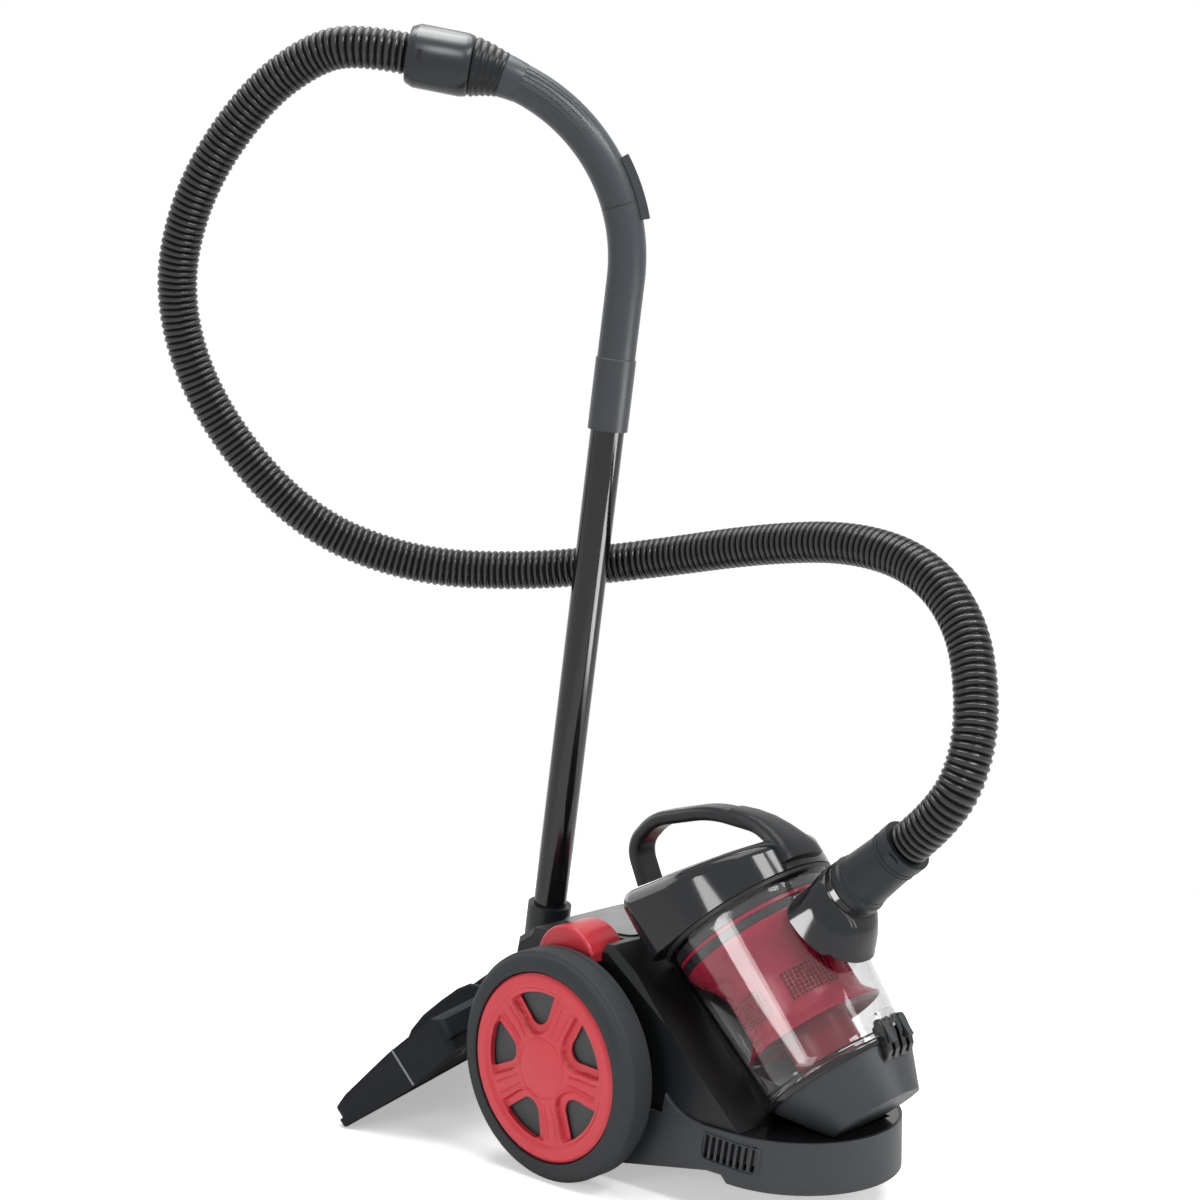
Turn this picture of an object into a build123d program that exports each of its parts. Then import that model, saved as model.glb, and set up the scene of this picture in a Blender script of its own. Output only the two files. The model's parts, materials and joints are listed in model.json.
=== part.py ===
"""Bagless canister vacuum cleaner, parked upright with its wand hooked on the back.

Millimetres. The origin is on the floor below the middle of the rear wheel axis.
+X points to the nose, +Y to the machine's left, +Z up.
"""

import os
from math import cos, radians, sin, tan

from build123d import *

os.makedirs("parts", exist_ok=True)

# Rear wheels
WHEEL_R = 103
WHEEL_IN = 105
WHEEL_OUT = 137
RIM_R = 84
HUB_R = 14
WEB_OUT = 127
CAP_BACK = 131
WINDOWS = 5
WINDOW_TURN = 100
AXLE_R = 5
AXLE_HEAD_R = 8
AXLE_IN = 68
RUN_FIT = 0.05
SEAT_FIT = 0.02

# Housing
BODY_HALF = 86
BASE_HALF = 90
BASE_BOTTOM = 14
NOSE_BOTTOM = 30
BASE_TOP = 74
DECK_TOP = 208
NOSE_X = 178
REAR_X = -94
WALL = 3
VENT_SLOTS = 8
VENT_X = 150
VENT_PITCH = 7
VENT_LOW = 45
VENT_HIGH = 68

EXHAUST_HALF = 52
EXHAUST_LOW = 92
EXHAUST_HIGH = 138
OUTLET_Y = 68
OUTLET_Z = 160
OUTLET_R = 7
OUTLET_BORE = 4
OUTLET_FLANGE = 3
OUTLET_LONG = 14

# Motor and cord reel inside the housing
MOTOR_Y = -28
MOTOR_Z = 108
RIB = 8
RIB_END = 20
MOTOR_RIBS = [(-34, 46), (28, 50)]
FILTER_X = 62
FILTER_THICK = 10
FILTER_WIDE = 70
FILTER_LOW = 30
FILTER_HIGH = 128
MOTOR_R = 36
SHROUD_R = 44
SHAFT_R = 4
BLADES = 9
REEL_X = -25
REEL_Z = 112
REEL_R = 52
REEL_IN = 24
REEL_OUT = 56.5
SPINDLE_R = 6

# Pedals on the shoulders
PEDAL_X = -8
PEDAL_LONG = 66
PEDAL_OUT = 99
PEDAL_IN = 56
PEDAL_BOTTOM = 194
PEDAL_TOP = 222
PEDAL_GAP = 0.6
POCKET_FLOOR = 178
SPRING_R = 8
SPRING_Y = 72

# Dust cup, on an axis that leans back
CUP_LEAN = 39.5
CUP_FOOT = (221, 0, 118)
CUP_LENGTH = 156
CUP_R_LOW = 66
CUP_R_TOP = 80
CUP_WALL = 2.5
CRADLE_GAP = 7
FLAP_R = 70
FLAP_DEPTH = 48
FLAP_R_LOW = 42
FLAP_SHIFT = 12
SEAT_LOW = 50
SEAT_BACK = 130
LID_R = 84
LID_BACK = 64
LID_TOP_X = 122
LID_TOP_Z = 294
LID_SLOPE = 25
INLET_S = 114
INLET_BORE = 20
INLET_R = 33
SPOUT_END = 114
CONNECTOR_END = 182
HINGE_T = 74
HINGE_S = 4
HINGE_R = 2.5
CYCLONE_R = 46
CYCLONE_WINDOWS = 8
PLEATS = 30
LID_EDGE = 14
LID_CORNER = 22
BUTTON_AT = -64
BUTTON_LONG = 27
BUTTON_WIDE = 19
BUTTON_DEEP = 13
HANDLE_WIDE = 28
HANDLE_THICK = 13

# Wand, grip and hose
WAND_FOOT = (-124, 0, 205)
WAND_LEAN = 9.43
WAND_TURN = 43
TUBE_R = 15.7
TUBE_WALL = 2
TUBE_LOW = -28
TUBE_TOP = 490
GRIP_R = 17.5
GRIP_BORE = 13.5
SOCKET_R = 18.6
SOCKET_LONG = 66
SLIDER_FROM = 17
SLIDER_TO = 35
SLIDER_PROUD = 6
GRIP_LOW = 463
GRIP_BEND_START = 601
GRIP_BEND_R = 170
GRIP_BEND = 76
CUFF_BEND = 86
CUFF_LENGTH = 58
CUFF_R = 28
HOSE_R = 18.5
HOSE_VALLEY_R = 16.6
HOSE_BORE_R = 14
HOSE_RIBS = 110
HOSE_STRETCH = 5
HOSE_POINTS = [(343, 10, 397), (337, 27, 445), (311, 50, 502), (260, 65, 546), (185, 70, 565), (85, 70, 560),
               (-45, 56, 540), (-155, 5, 525), (-250, -65, 530), (-325, -140, 575), (-380, -205, 680),
               (-387, -240, 785), (-345, -245, 880), (-280, -222, 962), (-222, -195, 1000)]
STEADY = Vector(0.68, -0.73, 0)
BRACKET_FRONT = 24
BRACKET_LOW = -60
BRACKET_TALL = 44
HOOK_X = 28.5
HOOK_THICK = 4
HOOK_HALF = 11.6
HOOK_WEB = 3.4

# Floor head
HEAD_YAW = 17
HEAD_PITCH = 38
HEAD_PIVOT = (-186.5, -16.4, 100)
HEAD_HALF = 130
HEAD_TOE = 132
HEAD_HEEL = -24
NECK_R = 19
BARREL_R = 17
BARREL_HALF = 22
PIN_R = 4
NECK_SOCKET_R = 21
NECK_BEND = -62
EAR_OUT = 38
NOTCH_HALF = 24
NOTCH_TOE = 22
SHELL_Z = -14
ROCKER_X = 62
ROCKER_LONG = 28
ROCKER_HALF = 21
BRUSH_X = 110
BRUSH_THICK = 5
BRUSH_HALF = 110
BRUSH_LOW = -24
BRUSH_TALL = 9.5
ROLLER_R = 7
ROLLER_WIDE = 10
ROLLER_Y = 95
ROLLER_Z = -22.5
ROLLER_PIN = 2

# Caster
CASTER_X = 195
CASTER_R = 12.5
CASTER_TRAIL = 12
STEM_R = 6
STEM_TOP = 46
PLATE_LOW = 25.6

lean = radians(CUP_LEAN)
cup_up = Vector(-sin(lean), 0, cos(lean))
cup_front = Vector(cos(lean), 0, sin(lean))
cup_plane = Plane(origin=CUP_FOOT, x_dir=cup_front, z_dir=cup_up)
cup_side_plane = Plane(origin=CUP_FOOT, x_dir=cup_front, z_dir=(0, -1, 0))
cup_axis = Axis(CUP_FOOT, cup_up)
inlet_centre = Vector(*CUP_FOOT) + cup_up * INLET_S
inlet_plane = Plane(origin=inlet_centre, x_dir=(0, 1, 0), z_dir=cup_front)
inlet_side_plane = Plane(origin=inlet_centre, x_dir=cup_front, z_dir=(0, -1, 0))
inlet_axis = Axis(inlet_centre, cup_front)

wand_lean = radians(WAND_LEAN)
wand_turn = radians(WAND_TURN)
wand_up = Vector(sin(wand_lean), 0, cos(wand_lean))
wand_ahead = Vector(cos(wand_lean), 0, -sin(wand_lean))
grip_side = wand_ahead * -cos(wand_turn) + Vector(0, -sin(wand_turn), 0)
wand_plane = Plane(origin=WAND_FOOT, x_dir=wand_ahead, z_dir=wand_up)
wand_axis = Axis(WAND_FOOT, wand_up)
grip_plane = Plane(origin=WAND_FOOT, x_dir=grip_side, z_dir=grip_side.cross(wand_up))

head_yaw = radians(HEAD_YAW)
head_pitch = radians(HEAD_PITCH)
toe_flat = Vector(-cos(head_yaw), -sin(head_yaw), 0)
toe_dir = toe_flat * cos(head_pitch) + Vector(0, 0, -sin(head_pitch))
head_up = toe_flat * sin(head_pitch) + Vector(0, 0, cos(head_pitch))
head_across = head_up.cross(toe_dir)
head_plane = Plane(origin=HEAD_PIVOT, x_dir=toe_dir, z_dir=head_up)
head_side_plane = Plane(origin=HEAD_PIVOT, x_dir=toe_dir, z_dir=-head_across)

wheel_plane = Plane(origin=(0, 0, WHEEL_R), x_dir=(0, 1, 0), z_dir=(1, 0, 0))
wheel_axis = Axis((0, 0, WHEEL_R), (0, 1, 0))


def save(piece, name):
    """Labels a finished piece and writes its STEP file."""
    piece.part.label = name
    export_step(piece.part, f"parts/{name}.step")


def save_pair(piece, name):
    """Writes a right-hand piece and its mirror image on the left side."""
    save(piece, f"right_{name}")
    with BuildPart() as other:
        mirror(piece.part, about=Plane.XZ)
    save(other, f"left_{name}")


def turned(plane, axis, *outline):
    """A solid turned about an axis from a closed outline drawn in a plane through it."""
    with BuildPart() as piece:
        with BuildSketch(plane):
            with BuildLine():
                Polyline(*outline, close=True)
            make_face()
        revolve(axis=axis)
    return piece


# Rear wheels: a rubber tyre, a dark moulded core and a red hub cap on each stub axle
SHOULDER = 9
with BuildPart() as tyre:
    with BuildSketch(wheel_plane):
        with BuildLine():
            Polyline((-WHEEL_OUT, RIM_R), (-WHEEL_IN, RIM_R), (-WHEEL_IN, WHEEL_R - 2),
                     (-WHEEL_IN - 2, WHEEL_R), (-WHEEL_OUT + SHOULDER, WHEEL_R))
            RadiusArc((-WHEEL_OUT + SHOULDER, WHEEL_R), (-WHEEL_OUT, WHEEL_R - SHOULDER), SHOULDER)
            Line((-WHEEL_OUT, WHEEL_R - SHOULDER), (-WHEEL_OUT, RIM_R))
        make_face()
    revolve(axis=wheel_axis)
save_pair(tyre, "tyre")

wheel_core = turned(
    wheel_plane, wheel_axis,
    (-WHEEL_IN, AXLE_R + RUN_FIT), (-CAP_BACK, AXLE_R + RUN_FIT), (-CAP_BACK, HUB_R), (-WEB_OUT, HUB_R + 2),
    (-WEB_OUT, RIM_R - 10), (-CAP_BACK, RIM_R - 8), (-CAP_BACK, RIM_R), (-WHEEL_IN, RIM_R),
    (-WHEEL_IN, RIM_R - 6), (-WEB_OUT + 5, RIM_R - 10), (-WEB_OUT + 5, HUB_R + 2), (-WHEEL_IN, HUB_R))
save_pair(wheel_core, "wheel_core")

cap_plane = Plane(origin=(0, -WHEEL_OUT - 4, WHEEL_R), x_dir=(1, 0, 0), z_dir=(0, -1, 0))
with BuildSketch(cap_plane) as window:
    with BuildLine():
        Polyline((66, -24), (42, 0), (66, 24))
        ThreePointArc((66, -24), (70, 0), (66, 24))
    make_face()
    fillet(window.vertices(), 6)
with BuildPart() as hub_cap:
    with BuildSketch(wheel_plane):
        with BuildLine():
            Polyline((-WHEEL_OUT - 2, 0), (-WHEEL_OUT + 3, 0), (-WHEEL_OUT + 3, HUB_R), (-CAP_BACK - 0.4, HUB_R + 2),
                     (-CAP_BACK - 0.4, RIM_R - 8), (-CAP_BACK, RIM_R - 8), (-CAP_BACK, RIM_R), (-WHEEL_OUT + 1, RIM_R),
                     (-WHEEL_OUT, RIM_R - 1), (-WHEEL_OUT, RIM_R - 8), (-WHEEL_OUT + 2, RIM_R - 12),
                     (-WHEEL_OUT + 2, 36), (-WHEEL_OUT, 27), (-WHEEL_OUT - 1.4, 18), (-WHEEL_OUT - 2, 9), close=True)
        make_face()
    revolve(axis=wheel_axis)
    with BuildSketch(cap_plane):
        with PolarLocations(0, WINDOWS, WINDOW_TURN):
            add(window.sketch_local)
    extrude(amount=-14, mode=Mode.SUBTRACT)
save_pair(hub_cap, "hub_cap")

axle = turned(
    wheel_plane, wheel_axis,
    (-AXLE_IN, 0), (-CAP_BACK - 2.2, 0), (-CAP_BACK - 2.2, AXLE_HEAD_R), (-CAP_BACK - 0.3, AXLE_HEAD_R),
    (-CAP_BACK - 0.3, AXLE_R), (-AXLE_IN, AXLE_R))
save_pair(axle, "axle")


# Construction solids that shape the pieces round the dust cup
with BuildPart() as cup_form:
    with BuildSketch(cup_plane):
        Circle(CUP_R_LOW)
    with BuildSketch(cup_plane.offset(CUP_LENGTH)):
        Circle(CUP_R_TOP)
    loft()


def flap_cone(extra):
    """The bowl under the cup, deeper at the front, grown by an amount on every side."""
    with BuildPart() as bowl:
        with BuildSketch(cup_plane):
            Circle(FLAP_R + extra)
        with BuildSketch(cup_plane.offset(-FLAP_DEPTH - extra)):
            with Locations((FLAP_SHIFT, 0)):
                Circle(FLAP_R_LOW + extra)
        loft()
    return bowl


def cup_cone(extra):
    """A cone round the dust cup's axis that is wider than the cup by an amount."""
    with BuildPart() as cone:
        with BuildSketch(cup_plane):
            Circle(CUP_R_LOW + extra)
        with BuildSketch(cup_plane.offset(CUP_LENGTH + 60)):
            Circle(CUP_R_TOP + 4 + extra)
        loft()
    return cone


with BuildPart() as cup_path:
    add(cup_cone(CRADLE_GAP).part)
    add(flap_cone(CRADLE_GAP - 4).part)
cradle = cup_cone(CRADLE_GAP + WALL)


# Upper housing: a shell with the cup's cradle in front, pedal pockets and axle bosses
def housing_side(inset):
    """Side outline of the upper housing in X and Z, drawn inwards by an inset."""
    half = inset * 0.7
    return [(REAR_X + inset, BASE_TOP), (REAR_X - 4 + inset, 140), (REAR_X + 10 + half, DECK_TOP - 12 - half),
            (REAR_X + 30 + half, DECK_TOP - inset), (34 - half, DECK_TOP - inset),
            (62 - inset, 187 - half), (182 - 1.5 * inset, BASE_TOP)]


back_low, back_high = [Vector(x, 0, z) for x, z in housing_side(0)[1:3]]
back_slope = (back_high - back_low).normalized()
outlet_seat = back_low + back_slope * ((OUTLET_Z - back_low.Z) / back_slope.Z) + Vector(0, OUTLET_Y, 0)
outlet_in = Vector(back_slope.Z, 0, -back_slope.X)
pedal_spots = [(PEDAL_X, -BODY_HALF), (PEDAL_X, BODY_HALF)]
with BuildPart() as housing_void:
    with BuildSketch(Plane.XZ):
        with BuildLine():
            Polyline(*housing_side(WALL), close=True)
        make_face()
    extrude(amount=BODY_HALF - WALL, both=True)
    add(cradle.part, mode=Mode.SUBTRACT)
    with BuildSketch(Plane.XY.offset(POCKET_FLOOR - WALL)):
        with Locations(*pedal_spots):
            Rectangle(PEDAL_LONG + 2 * WALL, 2 * (BODY_HALF - PEDAL_IN + WALL))
    extrude(amount=60, mode=Mode.SUBTRACT)
    for side in (-1, 1):
        with BuildSketch(Plane.XZ.offset(-side * AXLE_IN)):
            with Locations((0, WHEEL_R)):
                Circle(AXLE_R + 7)
        extrude(amount=-side * BODY_HALF, mode=Mode.SUBTRACT)

with BuildPart() as housing_form:
    with BuildSketch(Plane.XZ):
        with BuildLine():
            Polyline(*housing_side(0), close=True)
        make_face()
    extrude(amount=BODY_HALF, both=True)
    rims = housing_form.faces().filter_by(Axis.Y).edges()
    chamfer(rims.filter_by(lambda e: e.center().Z > BASE_TOP + 1 and e.center().X < 60), 6)

with BuildPart() as upper_housing:
    add(housing_form.part)
    add(cup_path.part, mode=Mode.SUBTRACT)
    add(housing_void.part, mode=Mode.SUBTRACT)
    with BuildSketch(Plane.XY.offset(POCKET_FLOOR)):
        with Locations(*pedal_spots):
            Rectangle(PEDAL_LONG + 2 * PEDAL_GAP, 2 * (BODY_HALF - PEDAL_IN + PEDAL_GAP))
    extrude(amount=60, mode=Mode.SUBTRACT)
    with BuildSketch(Plane.XZ):
        with Locations((0, WHEEL_R)):
            Circle(AXLE_R + SEAT_FIT)
    extrude(amount=BODY_HALF, both=True, mode=Mode.SUBTRACT)
    with BuildSketch(Plane.YZ.offset(REAR_X + WALL + 2)):
        with Locations((0, (EXHAUST_LOW + EXHAUST_HIGH) / 2)):
            Rectangle(2 * EXHAUST_HALF, EXHAUST_HIGH - EXHAUST_LOW)
    extrude(amount=-20, mode=Mode.SUBTRACT)
    with BuildSketch(Plane(origin=outlet_seat, x_dir=(0, 1, 0), z_dir=outlet_in)):
        Circle(OUTLET_R + SEAT_FIT)
    extrude(amount=OUTLET_LONG, both=True, mode=Mode.SUBTRACT)
save(upper_housing, "upper_housing")


# Lower housing: the base pan with a round nose, side vents, ribs for the motor and a caster socket
def base_outline(inset):
    """Plan of the base: square at the back with round corners, half round at the nose."""
    with BuildSketch() as plan:
        with Locations(((REAR_X + NOSE_X) / 2 + inset / 2, 0)):
            Rectangle(NOSE_X - REAR_X - inset, 2 * (BASE_HALF - inset))
        fillet(plan.vertices().group_by(Axis.X)[0], 30 - inset)
        with Locations((NOSE_X, 0)):
            Circle(BASE_HALF - inset)
    return plan.sketch_local


def under_base(raised):
    """Solid below the pan's underside, which rises to a stepped nose, moved up by an amount."""
    with BuildPart() as under:
        with BuildSketch(Plane.XZ):
            with BuildLine():
                Polyline((-200, -20), (-200, BASE_BOTTOM + raised), (30, BASE_BOTTOM + raised),
                         (150, NOSE_BOTTOM + 6 + raised), (166, NOSE_BOTTOM + 6 + raised),
                         (172, NOSE_BOTTOM + raised), (300, NOSE_BOTTOM + raised), (300, -20), close=True)
            make_face()
        extrude(amount=BASE_HALF + 10, both=True)
    return under


motor_plane = Plane(origin=(0, MOTOR_Y, MOTOR_Z), x_dir=(1, 0, 0), z_dir=(0, -1, 0))
motor_axis = Axis((0, MOTOR_Y, MOTOR_Z), (1, 0, 0))
with BuildPart() as base_void:
    with BuildSketch(Plane.XY.offset(0)):
        add(base_outline(WALL))
    extrude(amount=BASE_TOP + 1)
    add(under_base(WALL).part, mode=Mode.SUBTRACT)
    for rib_x, ring_r in MOTOR_RIBS:
        with BuildSketch(Plane.YZ.offset(rib_x - RIB / 2)):
            with Locations((RIB_END - BASE_HALF, BASE_TOP / 2)):
                Rectangle(2 * BASE_HALF, BASE_TOP)
            with Locations((MOTOR_Y, MOTOR_Z)):
                Circle(ring_r, mode=Mode.SUBTRACT)
        extrude(amount=RIB, mode=Mode.SUBTRACT)
    with BuildSketch(Plane.XY):
        with Locations((FILTER_X, MOTOR_Y)):
            Rectangle(FILTER_THICK + 8, FILTER_WIDE + 8)
    extrude(amount=60, mode=Mode.SUBTRACT)
    with BuildSketch(Plane.XY.offset(FILTER_LOW)):
        with Locations((FILTER_X, MOTOR_Y)):
            Rectangle(FILTER_THICK, FILTER_WIDE)
    extrude(amount=60)
    with BuildSketch(Plane.XY):
        with Locations((CASTER_X, 0)):
            Circle(STEM_R + 6)
    extrude(amount=STEM_TOP + WALL, mode=Mode.SUBTRACT)

with BuildPart() as lower_housing:
    with BuildSketch(Plane.XY):
        add(base_outline(0))
    extrude(amount=BASE_TOP)
    add(under_base(0).part, mode=Mode.SUBTRACT)
    add(base_void.part, mode=Mode.SUBTRACT)
    with BuildSketch(Plane.XY):
        with Locations((CASTER_X, 0)):
            Circle(STEM_R + RUN_FIT)
    extrude(amount=STEM_TOP + 0.4, mode=Mode.SUBTRACT)
    with BuildSketch(Plane.XZ):
        for slot in range(VENT_SLOTS):
            with Locations(Location((VENT_X + slot * VENT_PITCH, (VENT_LOW + VENT_HIGH) / 2), -10)):
                SlotCenterToCenter(VENT_HIGH - VENT_LOW - 4, 4, rotation=90)
    extrude(amount=BASE_HALF + 5, both=True, mode=Mode.SUBTRACT)
save(lower_housing, "lower_housing")

SEAT_TOP = BASE_TOP - 0.4
with BuildPart() as seat_void:
    with BuildSketch(Plane.XY.offset(SEAT_LOW)):
        add(base_outline(2 * WALL))
        with Locations((0, 0)):
            Rectangle(2 * (SEAT_BACK + WALL), 4 * BASE_HALF, mode=Mode.SUBTRACT)
    extrude(amount=SEAT_TOP - WALL - SEAT_LOW)
    add(flap_cone(CRADLE_GAP - 4 + WALL).part, mode=Mode.SUBTRACT)
    add(cradle.part, mode=Mode.SUBTRACT)

with BuildPart() as cup_seat:
    with BuildSketch(Plane.XY.offset(SEAT_LOW)):
        add(base_outline(WALL))
        with Locations((0, 0)):
            Rectangle(2 * SEAT_BACK, 4 * BASE_HALF, mode=Mode.SUBTRACT)
    extrude(amount=SEAT_TOP - SEAT_LOW)
    add(seat_void.part, mode=Mode.SUBTRACT)
    add(cup_path.part, mode=Mode.SUBTRACT)
save(cup_seat, "cup_seat")

# Back of the housing: louvred exhaust cover, its filter, the cord's outlet and the parking bracket
exhaust_mid = (EXHAUST_LOW + EXHAUST_HIGH) / 2
exhaust_tall = EXHAUST_HIGH - EXHAUST_LOW
COVER_X = REAR_X - 3
COVER_THICK = 4
with BuildPart() as rear_cover:
    with BuildSketch(Plane.YZ.offset(COVER_X)):
        with Locations((0, exhaust_mid)):
            Rectangle(2 * EXHAUST_HALF - 0.4, exhaust_tall - 0.4)
        with Locations((0, exhaust_mid)):
            with GridLocations(EXHAUST_HALF - 2, 8, 2, 5):
                SlotCenterToCenter(EXHAUST_HALF - 14, 3.4, mode=Mode.SUBTRACT)
    extrude(amount=COVER_THICK)
save(rear_cover, "rear_cover")

with BuildPart() as exhaust_filter:
    with BuildSketch(Plane.YZ.offset(COVER_X + COVER_THICK)):
        with Locations((0, exhaust_mid)):
            Rectangle(2 * EXHAUST_HALF - 4, exhaust_tall - 4)
    extrude(amount=8)
save(exhaust_filter, "exhaust_filter")

cord_outlet = turned(
    Plane(origin=outlet_seat, x_dir=outlet_in, z_dir=(0, -1, 0)), Axis(outlet_seat, outlet_in),
    (-OUTLET_FLANGE, OUTLET_BORE), (-OUTLET_FLANGE, OUTLET_R + 3), (0, OUTLET_R + 3),
    (0, OUTLET_R), (OUTLET_LONG - OUTLET_FLANGE, OUTLET_R), (OUTLET_LONG - OUTLET_FLANGE, OUTLET_BORE))
save(cord_outlet, "cord_outlet")

with BuildPart() as parking_bracket:
    with BuildSketch(wand_plane.offset(BRACKET_LOW)):
        with Locations((BRACKET_FRONT + 15, 0)):
            RectangleRounded(30, 32, 4)
    extrude(amount=BRACKET_TALL)
    with BuildSketch(wand_plane.offset(BRACKET_LOW + 4)):
        with Locations((HOOK_X, 0)):
            Rectangle(12, 2 * HOOK_WEB + 1.2)
        with Locations((HOOK_X + HOOK_THICK / 2, 0)):
            Rectangle(HOOK_THICK + 1, 2 * HOOK_HALF + 1.2)
    extrude(amount=BRACKET_TALL, mode=Mode.SUBTRACT)
    add(housing_form.part, mode=Mode.SUBTRACT)
save(parking_bracket, "parking_bracket")

# Pedals: power on the right, cord rewind on the left, each on a spring in its pocket
with BuildPart() as pedal:
    with BuildSketch(Plane.XZ.offset(PEDAL_IN)):
        with BuildLine():
            Polyline((PEDAL_X + PEDAL_LONG / 2, PEDAL_BOTTOM + 8), (PEDAL_X + PEDAL_LONG / 2, PEDAL_BOTTOM),
                     (PEDAL_X - PEDAL_LONG / 2, PEDAL_BOTTOM), (PEDAL_X - PEDAL_LONG / 2, PEDAL_BOTTOM + 5))
            ThreePointArc((PEDAL_X - PEDAL_LONG / 2, PEDAL_BOTTOM + 5), (PEDAL_X + 5, PEDAL_TOP),
                          (PEDAL_X + PEDAL_LONG / 2, PEDAL_BOTTOM + 8))
        make_face()
    extrude(amount=PEDAL_OUT - PEDAL_IN)
    fillet(pedal.edges().filter_by(GeomType.CIRCLE), 3)
save_pair(pedal, "pedal")

with BuildPart() as pedal_spring:
    with BuildSketch(Plane.XY.offset(POCKET_FLOOR)):
        with Locations((PEDAL_X, -SPRING_Y)):
            Circle(SPRING_R)
            Circle(SPRING_R - 2, mode=Mode.SUBTRACT)
    extrude(amount=PEDAL_BOTTOM - POCKET_FLOOR)
save_pair(pedal_spring, "pedal_spring")

with BuildPart() as power_switch:
    with BuildSketch(Plane.XY.offset(POCKET_FLOOR - WALL)):
        with Locations((PEDAL_X, -SPRING_Y)):
            RectangleRounded(26, 16, 2)
    extrude(amount=-20)
save(power_switch, "power_switch")

# Motor and fan on two rubber rings, with the filter in front of them
motor_casing = turned(
    motor_plane, motor_axis,
    (-62, SHAFT_R + RUN_FIT), (-62, 14), (-50, 14), (-50, MOTOR_R), (14, MOTOR_R), (14, SHROUD_R), (46, SHROUD_R),
    (46, 16), (43, 16), (43, SHROUD_R - 2.5), (17, SHROUD_R - 2.5), (17, SHAFT_R + RUN_FIT))
save(motor_casing, "motor_casing")

with BuildPart() as motor_fan:
    with BuildSketch(motor_plane):
        with BuildLine():
            Polyline((-60, 0), (-60, SHAFT_R), (20, SHAFT_R), (20, SHROUD_R - 6), (22, SHROUD_R - 6),
                     (22, 9), (36, 9), (38, 6), (38, 0), close=True)
        make_face()
    revolve(axis=motor_axis)
    with BuildSketch(Plane(origin=(22, MOTOR_Y, MOTOR_Z), x_dir=(0, 1, 0), z_dir=(1, 0, 0))):
        with PolarLocations(23, BLADES):
            Rectangle(28, 1.8, rotation=25)
    extrude(amount=12)
save(motor_fan, "motor_fan")

with BuildPart() as motor_mounts:
    for (rib_x, ring_r), inner_r in zip(MOTOR_RIBS, (MOTOR_R, SHROUD_R)):
        with BuildSketch(Plane.YZ.offset(rib_x - RIB / 2 - 1)):
            with Locations((MOTOR_Y, MOTOR_Z)):
                Circle(ring_r)
                Circle(inner_r, mode=Mode.SUBTRACT)
        extrude(amount=RIB + 2)
save(motor_mounts, "motor_mounts")

with BuildPart() as pre_motor_filter:
    with BuildSketch(Plane.XY.offset(FILTER_LOW)):
        with Locations((FILTER_X, MOTOR_Y)):
            Rectangle(FILTER_THICK, FILTER_WIDE)
    extrude(amount=FILTER_HIGH - FILTER_LOW)
save(pre_motor_filter, "pre_motor_filter")

# Cord reel on a stand
reel_plane = Plane(origin=(REEL_X, 0, REEL_Z), x_dir=(0, 1, 0), z_dir=(1, 0, 0))
cord_reel = turned(
    reel_plane, Axis((REEL_X, 0, REEL_Z), (0, 1, 0)),
    (REEL_IN, SPINDLE_R + RUN_FIT), (REEL_IN, REEL_R), (REEL_IN + 2.5, REEL_R), (REEL_IN + 2.5, 24),
    (REEL_OUT - 2.5, 24), (REEL_OUT - 2.5, REEL_R), (REEL_OUT, REEL_R), (REEL_OUT, SPINDLE_R + RUN_FIT))
save(cord_reel, "cord_reel")

with BuildPart() as reel_stand:
    with BuildSketch(Plane.XZ.offset(-REEL_OUT - 0.5)):
        with Locations((REEL_X, (BASE_BOTTOM + WALL + REEL_Z + 16) / 2)):
            Rectangle(40, REEL_Z + 16 - BASE_BOTTOM - WALL)
    extrude(amount=-4)
    with BuildSketch(Plane.XZ.offset(-REEL_IN)):
        with Locations((REEL_X, REEL_Z)):
            Circle(SPINDLE_R)
    extrude(amount=-(REEL_OUT + 2 - REEL_IN))
save(reel_stand, "reel_stand")

# Dust cup: clear cone with rims, an inlet hole and a lug for the flap's hinge
with BuildPart() as dust_cup:
    with BuildSketch(cup_side_plane):
        with BuildLine():
            Polyline((CUP_R_LOW - CUP_WALL, 0), (CUP_R_LOW + 2.5, 0), (CUP_R_LOW + 2.5, 4), (CUP_R_LOW + 0.5, 5.6),
                     (CUP_R_TOP - 0.6, 150), (CUP_R_TOP + 2, 152), (CUP_R_TOP + 2, CUP_LENGTH),
                     (CUP_R_TOP - CUP_WALL, CUP_LENGTH), close=True)
        make_face()
    revolve(axis=cup_axis)
    with BuildSketch(inlet_plane):
        Circle(INLET_BORE)
    extrude(amount=100, mode=Mode.SUBTRACT)
    with BuildSketch(cup_plane.offset(1)):
        with Locations((72, 0)):
            Rectangle(12, 16)
    extrude(amount=18)
    with BuildSketch(cup_side_plane):
        with Locations((HINGE_T, HINGE_S)):
            Circle(HINGE_R)
    extrude(amount=30, both=True, mode=Mode.SUBTRACT)
save(dust_cup, "dust_cup")

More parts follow.
